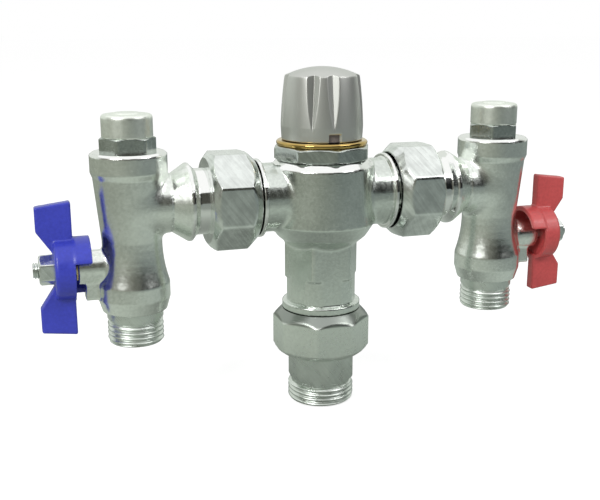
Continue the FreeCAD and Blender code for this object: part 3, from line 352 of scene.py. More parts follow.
def both(first: RadiusRule, second: RadiusRule) -> RadiusRule:
    """Returns a rule that applies one rule after the other."""
    return lambda angle, radius, height: second(angle, first(angle, radius, height), height)


# ---------------------------------------------------------------------------------------------
# Cast forms: distances to simple shapes, merged with fillets and meshed on a grid.
# ---------------------------------------------------------------------------------------------
DistanceRule = Callable[[Array], Array]


def outline_distance(across: Array, along: Array, corners: list) -> Array:
    """Returns the signed distance to a closed outline, negative inside.

    Args:
        across: First coordinate of the points.
        along: Second coordinate of the points.
        corners: Corners of the outline.

    Returns:
        The distances.
    """
    nearest = np.full(across.shape, 1e9, np.float32)
    outside = np.ones(across.shape, bool)
    for index, (u0, v0) in enumerate(corners):
        u1, v1 = corners[index - 1]
        edge_u, edge_v = u1 - u0, v1 - v0
        du, dv = across - u0, along - v0
        share = np.clip((du * edge_u + dv * edge_v) / (edge_u**2 + edge_v**2), 0, 1)
        nearest = np.minimum(nearest, (du - edge_u * share) ** 2 + (dv - edge_v * share) ** 2)
        rising = along >= v0
        below = along < v1
        left = edge_u * dv > edge_v * du
        outside ^= (rising & below & left) | ~(rising | below | left)
    return np.where(outside, 1.0, -1.0).astype(np.float32) * np.sqrt(nearest)


def inset(corners: list, amount: float) -> list:
    """Moves every edge of an outline inwards, so that rounding can be added back.

    Args:
        corners: Corners in anticlockwise order.
        amount: Distance to move by.

    Returns:
        The corners of the smaller outline.
    """
    moved = []
    count = len(corners)
    for index in range(count):
        here = np.array(corners[index], float)
        before = here - np.array(corners[index - 1], float)
        after = np.array(corners[(index + 1) % count], float) - here
        normals = []
        for run in (before, after):
            run = run / np.linalg.norm(run)
            normals.append(np.array([-run[1], run[0]]))
        total = normals[0] + normals[1]
        moved.append(tuple(here + total * amount / (1 + normals[0] @ normals[1])))
    return moved


def turned(corners: list, rounding: float) -> Callable[[Array, Array], Array]:
    """Makes a distance rule for a turned solid.

    Args:
        corners: (radius, height) corners in anticlockwise order, closed at the radius AXIS.
        rounding: Radius left on the outer corners.

    Returns:
        A rule from distance to the axis and height to signed distance.
    """
    smaller = inset(corners, rounding)
    return lambda radial, height: outline_distance(radial, height, smaller) - rounding


def fillet(first: Array, second: Array, width: float) -> Array:
    """Returns the union of two distances with a hollow fillet between them.

    Args:
        first: First distances.
        second: Second distances.
        width: Reach of the fillet.

    Returns:
        The merged distances.
    """
    share = np.maximum(width - np.abs(first - second), 0.0) / width
    return np.minimum(first, second) - share * share * width / 4


@dataclass
class CastForm:
    """A casting given by a distance rule and meshed on a regular grid.

    Attributes:
        rule: Signed distance from points in millimetres.
        low: Lowest corner of the space to mesh.
        high: Highest corner.
        step: Grid step.
    """

    rule: DistanceRule
    low: tuple
    high: tuple
    step: float

    def grid(self) -> tuple:
        """Samples the rule on the grid.

        Returns:
            The axes' sample places and the distances.
        """
        axes = [np.arange(a, b + self.step, self.step, dtype=np.float32) for a, b in zip(self.low, self.high)]
        x, y, z = np.meshgrid(*axes, indexing="ij")
        points = np.stack([x.ravel(), y.ravel(), z.ravel()], axis=1)
        return axes, self.rule(points).reshape(x.shape)

    def points_and_faces(self) -> tuple:
        """Meshes the surface with one point in each cell that it crosses.

        Returns:
            The points in millimetres and the faces.
        """
        axes, value = self.grid()
        inside = value < 0
        shape = tuple(size - 1 for size in value.shape)
        total = np.zeros(shape + (3,), np.float32)
        count = np.zeros(shape, np.float32)
        crossings = []
        for axis in range(3):
            near = [slice(None)] * 3
            far = [slice(None)] * 3
            near[axis] = slice(None, -1)
            far[axis] = slice(1, None)
            a, b = value[tuple(near)], value[tuple(far)]
            where = np.argwhere(inside[tuple(near)] != inside[tuple(far)])
            at = tuple(where.T)
            share = a[at] / (a[at] - b[at])
            place = where.astype(np.float32)
            place[:, axis] += share
            others = [other for other in range(3) if other != axis]
            cells = []
            for first, second in ((0, 0), (1, 0), (1, 1), (0, 1)):
                cell = where.copy()
                cell[:, others[0]] -= first
                cell[:, others[1]] -= second
                cells.append(cell)
                np.add.at(total, tuple(cell.T), place)
                np.add.at(count, tuple(cell.T), 1)
            crossings.append((axis, inside[tuple(near)][at], cells))
        used = count > 0
        number = np.full(shape, -1, np.int64)
        number[used] = np.arange(int(used.sum()))
        points = total[used] / count[used][:, None]
        origin = np.array([axis[0] for axis in axes], np.float32)
        points = points * self.step + origin
        faces = []
        for axis, starts_inside, cells in crossings:
            numbers = np.stack([number[tuple(cell.T)] for cell in cells], axis=1)
            turned_over = starts_inside if axis == 1 else ~starts_inside
            numbers[turned_over] = numbers[turned_over][:, ::-1]
            faces.append(numbers)
        return self.settled(points), np.concatenate(faces).tolist()

    def settled(self, points: Array) -> Array:
        """Moves points onto the true surface.

        Args:
            points: Points near the surface.

        Returns:
            The points on it.
        """
        reach = 0.05
        for _ in range(4):
            value = self.rule(points)
            slope = np.empty_like(points)
            for axis in range(3):
                shift = np.zeros(3, np.float32)
                shift[axis] = reach
                slope[:, axis] = (self.rule(points + shift) - self.rule(points - shift)) / (2 * reach)
            size = np.maximum((slope**2).sum(axis=1), 0.2)
            move = slope * (value / size)[:, None]
            points = points - np.clip(move, -self.step, self.step) * 0.9
        return points


def cast_object(name: str, points: Array, faces: list, flip: bool, machined: Array) -> bpy.types.Object:
    """Makes an object of a casting and marks where it has been machined.

    Args:
        name: Name of the object.
        points: Points in millimetres from the arm axis.
        faces: Faces of the mesh.
        flip: Whether the faces are turned over.
        machined: Share of machined finish at each point.

    Returns:
        The new object.
    """
    mesh = bpy.data.meshes.new(name)
    placed = (points + np.array([0, 0, PLACE.arm_height])) * MM
    if flip:
        faces = [face[::-1] for face in faces]
    mesh.from_pydata(placed.tolist(), [], faces)
    mark = mesh.attributes.new("machined", "FLOAT", "POINT")
    mark.data.foreach_set("value", machined.astype(np.float32))
    mesh.polygons.foreach_set("use_smooth", np.ones(len(mesh.polygons), bool))
    mesh.update()
    made = bpy.data.objects.new(name, mesh)
    bpy.context.scene.collection.objects.link(made)
    return made


# ---------------------------------------------------------------------------------------------
# Shader groups: effects that several finishes share.
# ---------------------------------------------------------------------------------------------
class Wiring:
    """Adds and joins nodes in one node tree."""

    def __init__(self, tree: bpy.types.NodeTree) -> None:
        """Keeps the tree.

        Args:
            tree: Tree to add nodes to.
        """
        self.tree = tree

    def add(self, kind: str, **settings: object) -> bpy.types.Node:
        """Adds a node and sets its properties.

        Args:
            kind: Blender's name for the node's type.
            **settings: Properties to set.

        Returns:
            The node.
        """
        node = self.tree.nodes.new(kind)
        for key, value in settings.items():
            setattr(node, key, value)
        return node

    def join(self, source: bpy.types.NodeSocket, target: bpy.types.NodeSocket) -> None:
        """Joins an output to an input."""
        self.tree.links.new(source, target)

    def noise(self, vector: bpy.types.NodeSocket, scale: float, detail: float = 3.0) -> bpy.types.Node:
        """Adds a noise texture.

        Args:
            vector: Coordinates to use.
            scale: Scale of the noise.
            detail: Number of finer layers.

        Returns:
            The noise node.
        """
        node = self.add("ShaderNodeTexNoise")
        node.inputs["Scale"].default_value = scale
        node.inputs["Detail"].default_value = detail
        self.join(vector, node.inputs["Vector"])
        return node

    def crisp(self, value: bpy.types.NodeSocket, reach: float) -> bpy.types.NodeSocket:
        """Stretches values round one half to the full range.

        Args:
            value: Values to stretch.
            reach: Distance from one half that becomes 0 or 1.

        Returns:
            The stretched values.
        """
        node = self.add("ShaderNodeMapRange")
        node.inputs["From Min"].default_value = 0.5 - reach
        node.inputs["From Max"].default_value = 0.5 + reach
        self.join(value, node.inputs["Value"])
        return node.outputs[0]

    def combine(self, kind: str, first: object, second: object) -> bpy.types.NodeSocket:
        """Adds a math node.

        Args:
            kind: Operation of the node.
            first: Socket or number.
            second: Socket or number.

        Returns:
            Its output.
        """
        node = self.add("ShaderNodeMath", operation=kind)
        for slot, value in enumerate((first, second)):
            if isinstance(value, (int, float)):
                node.inputs[slot].default_value = value
            else:
                self.join(value, node.inputs[slot])
        return node.outputs[0]


def new_group(name: str, inputs: list, outputs: list) -> tuple:
    """Starts a shader group with named sockets.

    Args:
        name: Name of the group.
        inputs: (name, default) pairs of numbers.
        outputs: Names of the outputs.

    Returns:
        The group, its wiring, its input node and its output node.
    """
    group = bpy.data.node_groups.new(name, "ShaderNodeTree")
    for label, default in inputs:
        socket = group.interface.new_socket(label, in_out="INPUT", socket_type="NodeSocketFloat")
        socket.default_value = default
    for label in outputs:
        group.interface.new_socket(label, in_out="OUTPUT", socket_type="NodeSocketFloat")
    wiring = Wiring(group)
    return group, wiring, wiring.add("NodeGroupInput"), wiring.add("NodeGroupOutput")


def sand_grain_group() -> bpy.types.NodeTree:
    """Builds the grain and slow unevenness of a sand casting.

    Returns:
        The group, with a height and a tone.
    """
    group, wiring, given, out = new_group(
        "sand_grain", [("Grain", 1.0), ("Swell", 1.0)], ["Height", "Tone"])
    place = wiring.add("ShaderNodeTexCoord").outputs["Object"]
    fine = wiring.noise(place, 2600.0, 2.0).outputs[0]
    coarse = wiring.noise(place, 900.0, 2.0).outputs[0]
    slow = wiring.noise(place, 90.0, 2.0).outputs[0]
    grain = wiring.combine("MULTIPLY", wiring.combine("ADD", fine, coarse), given.outputs["Grain"])
    swell = wiring.combine("MULTIPLY", slow, given.outputs["Swell"])
    wiring.join(wiring.combine("ADD", grain, swell), out.inputs["Height"])
    cloudy = wiring.combine("MULTIPLY", wiring.combine("ADD", coarse, slow), 0.5)
    wiring.join(wiring.crisp(cloudy, 0.14), out.inputs["Tone"])
    return group


def tool_mark_group() -> bpy.types.NodeTree:
    """Builds the fine straight marks that a cutter leaves.

    Returns:
        The group, with a height and a tone.
    """
    group, wiring, given, out = new_group(
        "tool_marks", [("Spacing", 1.0), ("Depth", 1.0)], ["Height", "Tone"])
    place = wiring.add("ShaderNodeTexCoord").outputs["Object"]
    lean = wiring.add("ShaderNodeMapping")
    lean.inputs["Rotation"].default_value = (0.3, 0.62, 0.2)
    wiring.join(place, lean.inputs["Vector"])
    stretch = wiring.add("ShaderNodeVectorMath", operation="MULTIPLY")
    stretch.inputs[1].default_value = (1150.0, 70.0, 70.0)
    wiring.join(lean.outputs[0], stretch.inputs[0])
    spread = wiring.add("ShaderNodeVectorMath", operation="SCALE")
    wiring.join(stretch.outputs[0], spread.inputs[0])
    wiring.join(given.outputs["Spacing"], spread.inputs["Scale"])
    scratch = wiring.noise(spread.outputs[0], 1.0, 2.0).outputs[0]
    cloud = wiring.noise(place, 260.0, 2.0).outputs[0]
    wiring.join(wiring.combine("MULTIPLY", scratch, given.outputs["Depth"]), out.inputs["Height"])
    marks = wiring.combine("MULTIPLY", wiring.combine("ADD", scratch, cloud), 0.5)
    wiring.join(wiring.crisp(marks, 0.12), out.inputs["Tone"])
    return group


class Surface(Enum):
    """Which shared effect gives a finish its texture."""

    CAST = "sand_grain"
    CUT = "tool_marks"


@dataclass(frozen=True)
class Finish:
    """A finish of one or more pieces.

    Attributes:
        name: Name of the material.
        color: Base colour, linear.
        roughness: Mean roughness.
        metallic: 1 for metal, 0 for paint, plastic and rubber.
        surface: The texture that it has.
        relief: Height of that texture, in millimetres.
        unevenness: How much tone and roughness change over the surface.
        coat: Weight of a clear coat.
        machined: Roughness where the piece has been machined, or None.
        machined_and_painted_shade_color: Base colour there, linear; on the outlet nut this is a dark painted
            shade on its upward chamfer.
    """

    name: str
    color: tuple
    roughness: float
    metallic: float = 1.0
    surface: Surface = Surface.CUT
    relief: float = 0.01
    unevenness: float = 0.1
    coat: float = 0.0
    machined: Optional[float] = None
    machined_and_painted_shade_color: tuple = (0.95, 0.96, 0.94)

    def material(self) -> bpy.types.Material:
        """Returns this finish's material, made on first use."""
        made = bpy.data.materials.get(self.name)
        return made if made is not None else self._made()

    def _made(self) -> bpy.types.Material:
        """Builds the material.

        Returns:
            The material.
        """
        made = bpy.data.materials.new(self.name)
        made.use_nodes = True
        tree = made.node_tree
        tree.nodes.clear()
        wiring = Wiring(tree)
        out = wiring.add("ShaderNodeOutputMaterial")
        shader = wiring.add("ShaderNodeBsdfPrincipled")
        wiring.join(shader.outputs[0], out.inputs["Surface"])
        shader.inputs["Metallic"].default_value = self.metallic
        shader.inputs["Coat Weight"].default_value = self.coat
        shader.inputs["Coat Roughness"].default_value = 0.12
        texture = wiring.add("ShaderNodeGroup", node_tree=bpy.data.node_groups[self.surface.value])
        texture.inputs[0].default_value = 1.0
        texture.inputs[1].default_value = 1.0
        tone = wiring.add("ShaderNodeMix", data_type="RGBA")
        darker = [channel * (1 - self.unevenness) for channel in self.color]
        lighter = [min(1.0, channel * (1 + self.unevenness)) for channel in self.color]
        tone.inputs[6].default_value = (*darker, 1)
        tone.inputs[7].default_value = (*lighter, 1)
        wiring.join(texture.outputs["Tone"], tone.inputs[0])
        paint = tone.outputs[2]
        rough = wiring.combine("MULTIPLY_ADD", texture.outputs["Tone"], self.unevenness)
        rough.node.inputs[2].default_value = self.roughness - self.unevenness / 2
        relief = texture.outputs["Height"]
        if self.machined is not None:
            mark = wiring.add("ShaderNodeAttribute", attribute_name="machined").outputs["Fac"]
            mix = wiring.add("ShaderNodeMix", data_type="FLOAT")
            wiring.join(mark, mix.inputs[0])
            wiring.join(rough, mix.inputs[2])
            mix.inputs[3].default_value = self.machined
            rough = mix.outputs[0]
            relief = wiring.combine("MULTIPLY", relief, wiring.combine("SUBTRACT", 1.0, mark))
            # The machined colour: bright on machined faces, and a painted shade on the outlet nut's chamfer.
            machined_and_painted_shade_tone = wiring.add("ShaderNodeMix", data_type="RGBA")
            machined_and_painted_shade_tone.inputs[7].default_value = (*self.machined_and_painted_shade_color, 1)
            wiring.join(mark, machined_and_painted_shade_tone.inputs[0])
            wiring.join(paint, machined_and_painted_shade_tone.inputs[6])
            paint = machined_and_painted_shade_tone.outputs[2]
        wiring.join(paint, shader.inputs["Base Color"])
        wiring.join(rough, shader.inputs["Roughness"])
        bump = wiring.add("ShaderNodeBump")
        bump.inputs["Strength"].default_value = 1.0
        bump.inputs["Distance"].default_value = self.relief * MM
        wiring.join(relief, bump.inputs["Height"])
        wiring.join(bump.outputs[0], shader.inputs["Normal"])
        return made


CAST_NICKEL = Finish("cast_nickel_plate", (0.74, 0.79, 0.74), 0.2, surface=Surface.CAST, relief=0.022,
                     unevenness=0.09, machined=0.1)
TEE_NICKEL = Finish("tee_nickel_plate", (0.88, 0.92, 0.87), 0.22, surface=Surface.CAST, relief=0.022,
                    unevenness=0.08, machined=0.1)
TURNED_NICKEL = Finish("turned_nickel_plate", (0.78, 0.82, 0.79), 0.17, relief=0.012, unevenness=0.12)
# The outlet nut's dark machined colour is painted shade on its first chamfer, which faces up.
OUTLET_NICKEL = Finish("outlet_nickel_plate", (0.84, 0.89, 0.83), 0.3, surface=Surface.CAST, relief=0.02,
                       unevenness=0.07, machined=0.3, machined_and_painted_shade_color=(0.34, 0.37, 0.34))
# Painted shade: a darker copy of the nickel plate, so that the strainer plugs read darker.
PLUG_SHADED_NICKEL = Finish("plug_nickel_painted_shade", (0.50, 0.54, 0.51), 0.2, surface=Surface.CAST, relief=0.02,
                     unevenness=0.14)
THREAD_NICKEL = Finish("threaded_nickel_plate", (0.76, 0.81, 0.76), 0.3, relief=0.01, unevenness=0.07)
BONNET_NICKEL = Finish("bonnet_nickel_plate", (0.50, 0.54, 0.51), 0.2, relief=0.01, unevenness=0.12)
CAP_SATIN = Finish("satin_cap", (0.90, 0.94, 0.87), 0.34, surface=Surface.CAST, relief=0.012, unevenness=0.06)
BRIGHT_RING = Finish("polished_ring", (0.60, 0.42, 0.14), 0.07, relief=0.003, unevenness=0.04)
KNOB_SATIN = Finish("satin_knob", (0.64, 0.68, 0.59), 0.2, metallic=0.15, surface=Surface.CAST, relief=0.006,
                    unevenness=0.05)
# Painted shade: the dark colour of the plate in the knob's notch stands for the shade in that recess.
NOTCH_SHADE = Finish("notch_painted_shade", (0.16, 0.14, 0.135), 0.5, metallic=0.0, surface=Surface.CAST, relief=0.01,
                     unevenness=0.08)
BARE_BRASS = Finish("turned_brass", (0.78, 0.60, 0.30), 0.25, relief=0.02, unevenness=0.1)
SPRING_STEEL = Finish("drawn_steel", (0.60, 0.60, 0.60), 0.3, relief=0.01, unevenness=0.08)
SEAL_RUBBER = Finish("seal_rubber", (0.02, 0.02, 0.022), 0.55, metallic=0.0, surface=Surface.CAST,
                     relief=0.02)
WHITE_MOULDING = Finish("white_moulding", (0.72, 0.72, 0.68), 0.4, metallic=0.0, surface=Surface.CAST,
                        relief=0.01)
BLUE_COAT = Finish("blue_coating", (0.034, 0.046, 0.44), 0.38, metallic=0.0, surface=Surface.CAST,
                   relief=0.02, unevenness=0.12, coat=0.25)
RED_COAT = Finish("red_coating", (0.52, 0.07, 0.07), 0.38, metallic=0.0, surface=Surface.CAST,
                  relief=0.02, unevenness=0.12, coat=0.25)


def dress(piece: bpy.types.Object, finish: Finish, body: str, slot: str, *nodes: str) -> bpy.types.Object:
    """Gives a piece its finish, its body and the solids that it stands for.

    Args:
        piece: The object.
        finish: Its finish.
        body: Body that it rides on.
        slot: Name of a material slot; not used.
        *nodes: Solids that it replaces.

    Returns:
        The same object.
    """
    piece.data.materials.clear()
    piece.data.materials.append(finish.material())
    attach(piece, body)
    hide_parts(*nodes)
    LOG.info("%s: %d faces, stands for %s", piece.name, len(piece.data.polygons), ", ".join(nodes))
    return piece


# ---------------------------------------------------------------------------------------------
# Sub-assemblies
# ---------------------------------------------------------------------------------------------
@dataclass
class MixingBody:
    """The cast body: barrel, two arm stubs, six-sided neck and the outlet's spigot."""

    top: float = 13.9
    top_r: float = 17.5
    shoulder: float = 11.5
    spot_face: float = 11.7
    shoulder_r: float = 19.8
    belly: float = -10.5
    belly_r: float = 20.9
    neck_top: float = -19.6
    neck_across: float = 26.3
    neck_turned_r: float = 14.9
    neck_step: float = -32.3
    spigot_turned_r: float = 13.65
    cone_r: float = 17.6
    cone_low: float = -15.6
    stub_r: float = 13.2
    stub_start: float = 10.0
    stub_end: float = 38.6
    collar_r: float = 15.0
    collar_start: float = 25.3
    collar_end: float = 26.9
    groove_r: float = 13.6
    outlet_collar_r: float = 15.5
    outlet_collar_high: float = -42.4
    outlet_collar_low: float = -45.3
    outlet_end_r: float = 14.2
    outlet_end: float = -56.4
    grid_step: float = 0.56

    def rule(self, points: Array) -> Array:
        """Returns the signed distance to the casting.

        Args:
            points: Points in millimetres from the arm axis.

        Returns:
            The distances.
        """
        x, y, z = np.abs(points[:, 0]), points[:, 1], points[:, 2]
        upright = np.hypot(points[:, 0], y)
        level = np.hypot(y, z)
        barrel = turned([
            (AXIS, self.neck_top), (self.neck_across / 2 - 0.2, self.neck_top), (self.cone_r, self.cone_low),
            (self.belly_r, self.belly), (self.shoulder_r, self.shoulder), (self.top_r, self.top),
            (AXIS, self.top),
        ], 0.3)(upright, z)
        stub = turned([
            (AXIS, self.stub_start), (self.stub_r, self.stub_start), (self.stub_r, self.collar_start),
            (self.collar_r, self.collar_start), (self.collar_r, self.collar_end),
            (self.groove_r, self.collar_end), (self.groove_r, self.stub_end), (AXIS, self.stub_end),
        ], 0.25)(level, x)
        above = self.top + 4.1
        spot_face = turned([
            (AXIS, self.spot_face), (self.shoulder_r, self.spot_face), (self.shoulder_r, above),
            (AXIS, above),
        ], 0.05)
        stub = np.maximum(stub, -spot_face(upright, z))
        casting = fillet(barrel, stub, 1.6)
        return fillet(casting, self.neck(points[:, 0], y, z, upright), 0.7)

    def neck(self, x: Array, y: Array, z: Array, upright: Array) -> Array:
        """Returns the signed distance to the neck and spigot.

        Args:
            x: First coordinate.
            y: Second coordinate.
            z: Height.
            upright: Distance to the main axis.

        Returns:
            The distances.
        """
        slanted = math.sqrt(3) / 2
        pair = np.maximum(np.abs(slanted * x + y / 2), np.abs(slanted * x - y / 2))
        six = np.maximum(np.abs(y), pair) - self.neck_across / 2
        low = self.outlet_collar_high
        spigot_top = self.neck_step + 0.6
        buried = self.belly - 1.5
        upper = turned([
            (AXIS, self.neck_step), (self.neck_turned_r, self.neck_step), (self.neck_turned_r, buried),
            (AXIS, buried),
        ], 0.3)
        lower = turned([
            (AXIS, low), (self.spigot_turned_r, low), (self.spigot_turned_r, spigot_top), (AXIS, spigot_top),
        ], 0.2)
        milled = np.maximum(six, np.minimum(upper(upright, z), lower(upright, z)))
        collar = turned([
            (AXIS, self.outlet_end), (self.outlet_end_r, self.outlet_end),
            (self.outlet_end_r, self.outlet_collar_low), (self.outlet_collar_r, self.outlet_collar_low),
            (self.outlet_collar_r, low), (AXIS, low),
        ], 0.25)
        return np.minimum(milled, collar(upright, z))

    def build(self) -> None:
        """Builds and dresses the body."""
        form = CastForm(self.rule, (-40, -22.5, -57.5), (40, 22.5, 15.5), self.grid_step)
        points, faces = form.points_and_faces()
        upright = np.hypot(points[:, 0], points[:, 1])
        chamfer = (points[:, 2] > self.shoulder - 0.1) & (upright < self.shoulder_r + 0.1)
        collars = np.abs(points[:, 0]) > self.collar_start - 0.1
        machined = np.where(chamfer | collars, 1.0, 0.0)
        piece = cast_object("valve_body", points, faces, False, machined)
        dress(piece, CAST_NICKEL, "valve", "cast_nickel", "mixing_body")


@dataclass
class Bonnet:
    """Eight-sided collar over the body and the polished ring on it."""

    low: float = 14.1
    high: float = 19.5
    chamfer: float = 0.8
    across: float = 35.6
    turned_r: float = 19.1
    edge_r: float = 17.4
    spigot_r: float = 15.9
    spigot_low: float = 7.0
    under_r: float = 17.55
    under_chamfer: float = 0.9
    step_r: float = 12.9
    tower_r: float = 10.4
    tower_shoulder: float = 23.4
    tip_r: float = 7.0
    tip_top: float = 28.0
    bore_r: float = 4.2
    ring_r: float = 17.6
    ring_section: float = 1.0

    def build(self) -> None:
        """Builds and dresses the bonnet and the ring."""
        step_top = self.high + 1.6
        collar = TurnedForm(
            [(self.bore_r, self.spigot_low, 0), (self.spigot_r, self.spigot_low, 0.2),
             (self.spigot_r, self.low, 0.1), (self.under_r, self.low, 0.2),
             (self.turned_r, self.low + self.under_chamfer, 0.3),
             (self.turned_r, self.high - self.chamfer, 0.25), (self.edge_r, self.high, 0.3),
             (self.step_r, self.high, 0.1), (self.step_r, step_top, 0.2), (self.tower_r, step_top, 0.1),
             (self.tower_r, self.tower_shoulder, 0.3), (self.tip_r, self.tower_shoulder + 1.0, 0.2),
             (self.tip_r, self.tip_top, 0.3), (self.bore_r, self.tip_top, 0.1)],
            rule=flats(8, self.across, self.low - 0.1, self.high + 0.1, turn=22.5, edge=0.35),
            ring=True, segments=240, step=1.0,
        )
        dress(collar.build("bonnet_collar", Pose.UPRIGHT), BONNET_NICKEL, "valve", "turned_nickel", "bonnet")
        centre = self.ring_r - self.ring_section
        section = []
        for step in range(25):
            angle = -math.pi / 2 + math.pi * step / 24
            section.append((centre + self.ring_section * math.cos(angle),
                            self.high + self.ring_section * (1 + math.sin(angle)), 0))
        bore_r = self.step_r + 0.15
        ring_top = self.high + 2 * self.ring_section
        ring = TurnedForm([(bore_r, self.high, 0.2)] + section + [(bore_r, ring_top, 0.2)],
                          ring=True, segments=180)
        made = ring.build("polished_trim_ring", Pose.UPRIGHT)
        dress(made, BRIGHT_RING, "valve", "bright_ring", "trim_ring")


@dataclass
class Knob:
    """Temperature knob with pairs of flutes, a dome and a notch in its rim."""

    foot: float = 21.75
    foot_r: float = 15.5
    wide: float = 27.0
    wide_r: float = 15.8
    shoulder: float = 46.0
    shoulder_r: float = 14.2
    top: float = 49.0
    wall: float = 1.6
    flute_pairs: int = 4
    flute_pitch: float = 30.0
    flute_turn: float = -17.0
    flute_width: float = 5.6
    flute_depth: float = 1.6
    flute_foot: float = 26.0
    notch_half: float = 2.4
    notch_height: float = 3.0
    notch_depth: float = 1.5

    def rule(self, angle: Array, radius: Array, height: Array) -> Array:
        """Returns the radius with the flutes and the notch cut into it.

        Args:
            angle: Angle round the axis.
            radius: Radius of the outline.
            height: Height above the arm axis.

        Returns:
            The trimmed radius.
        """
        run = np.clip((height - self.flute_foot) / (self.shoulder - self.flute_foot), -1.0, 1.3)
        skin_r = self.wide_r + (self.shoulder_r - self.wide_r) * np.clip(run, 0, 1.3)
        keel = skin_r - self.flute_depth * np.where(run > 0, np.abs(run) ** 0.8, 2 * run)
        slope = self.flute_depth / (self.flute_width / 2)
        skin = radius > self.foot_r - self.wall * 0.5
        trimmed = radius
        for pair in range(self.flute_pairs):
            pair_middle = -90 + self.flute_turn + 360 / self.flute_pairs * pair
            for half in (-0.5, 0.5):
                flute = math.radians(pair_middle + self.flute_pitch * half)
                turn = np.mod(angle - flute + math.pi, 2 * math.pi) - math.pi
                wall = np.maximum(np.cos(turn) - np.abs(np.sin(turn)) * slope, 0.2)
                limit = np.where(np.abs(turn) < 0.5, keel / wall, 99.0)
                trimmed = blend_low(trimmed, limit, 0.18)
        front = np.abs(np.mod(angle + math.pi / 2 + math.pi, 2 * math.pi) - math.pi)
        notch = (front * self.foot_r < self.notch_half) & (height < self.foot + self.notch_height) & skin
        floor = np.minimum(trimmed, self.foot_r - self.notch_depth)
        return np.where(notch, floor, trimmed)

    def build(self) -> None:
        """Builds and dresses the knob."""
        dome = []
        rise = self.top - self.shoulder
        reach = self.shoulder_r - 0.7
        radius = (reach**2 + rise**2) / 2 / rise
        for step in range(1, 14):
            angle = math.asin(reach / radius) * (1 - step / 14)
            dome.append((radius * math.sin(angle), self.top - radius * (1 - math.cos(angle)), 0))
        side = []
        for step in range(1, 8):
            share = step / 8
            bulge = 0.25 * 4 * share * (1 - share)
            side.append((self.wide_r + (self.shoulder_r - self.wide_r) * share + bulge,
                         self.wide + (self.shoulder - self.wide) * share, 0))
        edge_of_notch = self.foot + self.notch_height
        form = TurnedForm(
            [(self.foot_r - self.wall, self.foot, 0.1), (self.foot_r, self.foot, 0.3),
             (self.foot_r + 0.2, edge_of_notch - 0.06, 0), (self.foot_r + 0.2, edge_of_notch + 0.06, 0),
             (self.wide_r, self.wide, 0.6)] + side
            + [(self.shoulder_r, self.shoulder - 0.2, 0.9)] + dome + [(0, self.top, 0)],
            rule=self.rule, segments=540, step=0.8,
        )
        skin = form.build("knob_skin", Pose.UPRIGHT)
        dress(skin, KNOB_SATIN, "knob", "satin_knob", "temperature_knob")
        self.notch_painted_shade()
        roof = self.shoulder - 3.0
        lining = TurnedForm(
            [(0, roof, 0), (11.0, roof, 0.5), (self.foot_r - self.wall, self.wide, 0),
             (self.foot_r - self.wall, self.foot, 0)], segments=96, step=4.0,
        )
        inner = lining.build("knob_lining", Pose.UPRIGHT)
        dress(inner, KNOB_SATIN, "knob", "satin_knob", "temperature_knob")

    def notch_painted_shade(self) -> None:
        """Adds a thin curved plate in the notch, coloured dark as painted shade in the recess."""
        count = 13
        outer = self.foot_r - self.notch_depth + 0.12
        half = (self.notch_half - 0.06) / self.foot_r
        points = []
        for radius in (outer, outer - 0.3):
            for height in (self.foot + 0.05, self.foot + self.notch_height - 0.04):
                for step in range(count):
                    angle = -math.pi / 2 - half + 2 * half * step / (count - 1)
                    points.append((radius * math.cos(angle), radius * math.sin(angle), height))
        faces = []
        for step in range(count - 1):
            low, high, back, behind = step, count + step, 2 * count + step, 3 * count + step
            faces += [(low, low + 1, high + 1, high), (back + 1, back, behind, behind + 1),
                      (high, high + 1, behind + 1, behind), (low + 1, low, back, back + 1)]
        faces += [(0, count, 3 * count, 2 * count), (2 * count - 1, count - 1, 3 * count - 1, 4 * count - 1)]
        made = finished_mesh("knob_notch_painted_shade", laid(np.array(points), Pose.UPRIGHT), faces, False)
        made.data.polygons.foreach_set("use_smooth", np.zeros(len(made.data.polygons), bool))
        dress(made, NOTCH_SHADE, "knob", "satin_knob", "temperature_knob")


@dataclass
class Union:
    """Eight-sided union nuts of the arms and the outlet."""

    across: float = 36.0
    turned_r: float = 19.35
    first_r: float = 15.6
    first_chamfer: float = 4.0
    last_r: float = 16.2
    last_chamfer: float = 2.5
    length: float = 18.0
    bore_r: float = 15.1
    hole_r: float = 12.5
    web_thickness: float = 2.0

    def build(self, node: str, pose: Pose, side: Side) -> None:
        """Builds and dresses one nut.

        Args:
            node: Solid that it stands for.
            pose: Arm or outlet.
            side: Side of an arm nut.
        """
        web = self.length - self.web_thickness
        form = TurnedForm(
            [(self.bore_r, 0, 0.2), (self.first_r, 0, 0.15), (self.turned_r, self.first_chamfer, 0.4),
             (self.turned_r, self.length - self.last_chamfer, 0.4), (self.last_r, self.length, 0.3),
             (self.hole_r, self.length, 0.3), (self.hole_r, web, 0.1), (self.bore_r, web, 0.1)],
            rule=flats(8, self.across, 0, self.length, 0, 0.3), ring=True, segments=200, step=1.0,
        )
        made = form.build(node + "_visible", pose, side)
        if pose is Pose.ARM:
            dress(made, TURNED_NICKEL, "valve", "turned_nickel", node)
            return
        # The first chamfer is marked so that the outlet finish paints it dark, a painted shade.
        chamfer_low = PLACE.outlet_start - self.first_chamfer + 0.15
        heights = np.array([point.co.z for point in made.data.vertices]) / MM - PLACE.arm_height
        mark = made.data.attributes.new("machined", "FLOAT", "POINT")
        mark.data.foreach_set("value", (heights > chamfer_low).astype(np.float32))
        dress(made, OUTLET_NICKEL, "valve", "turned_nickel", node)


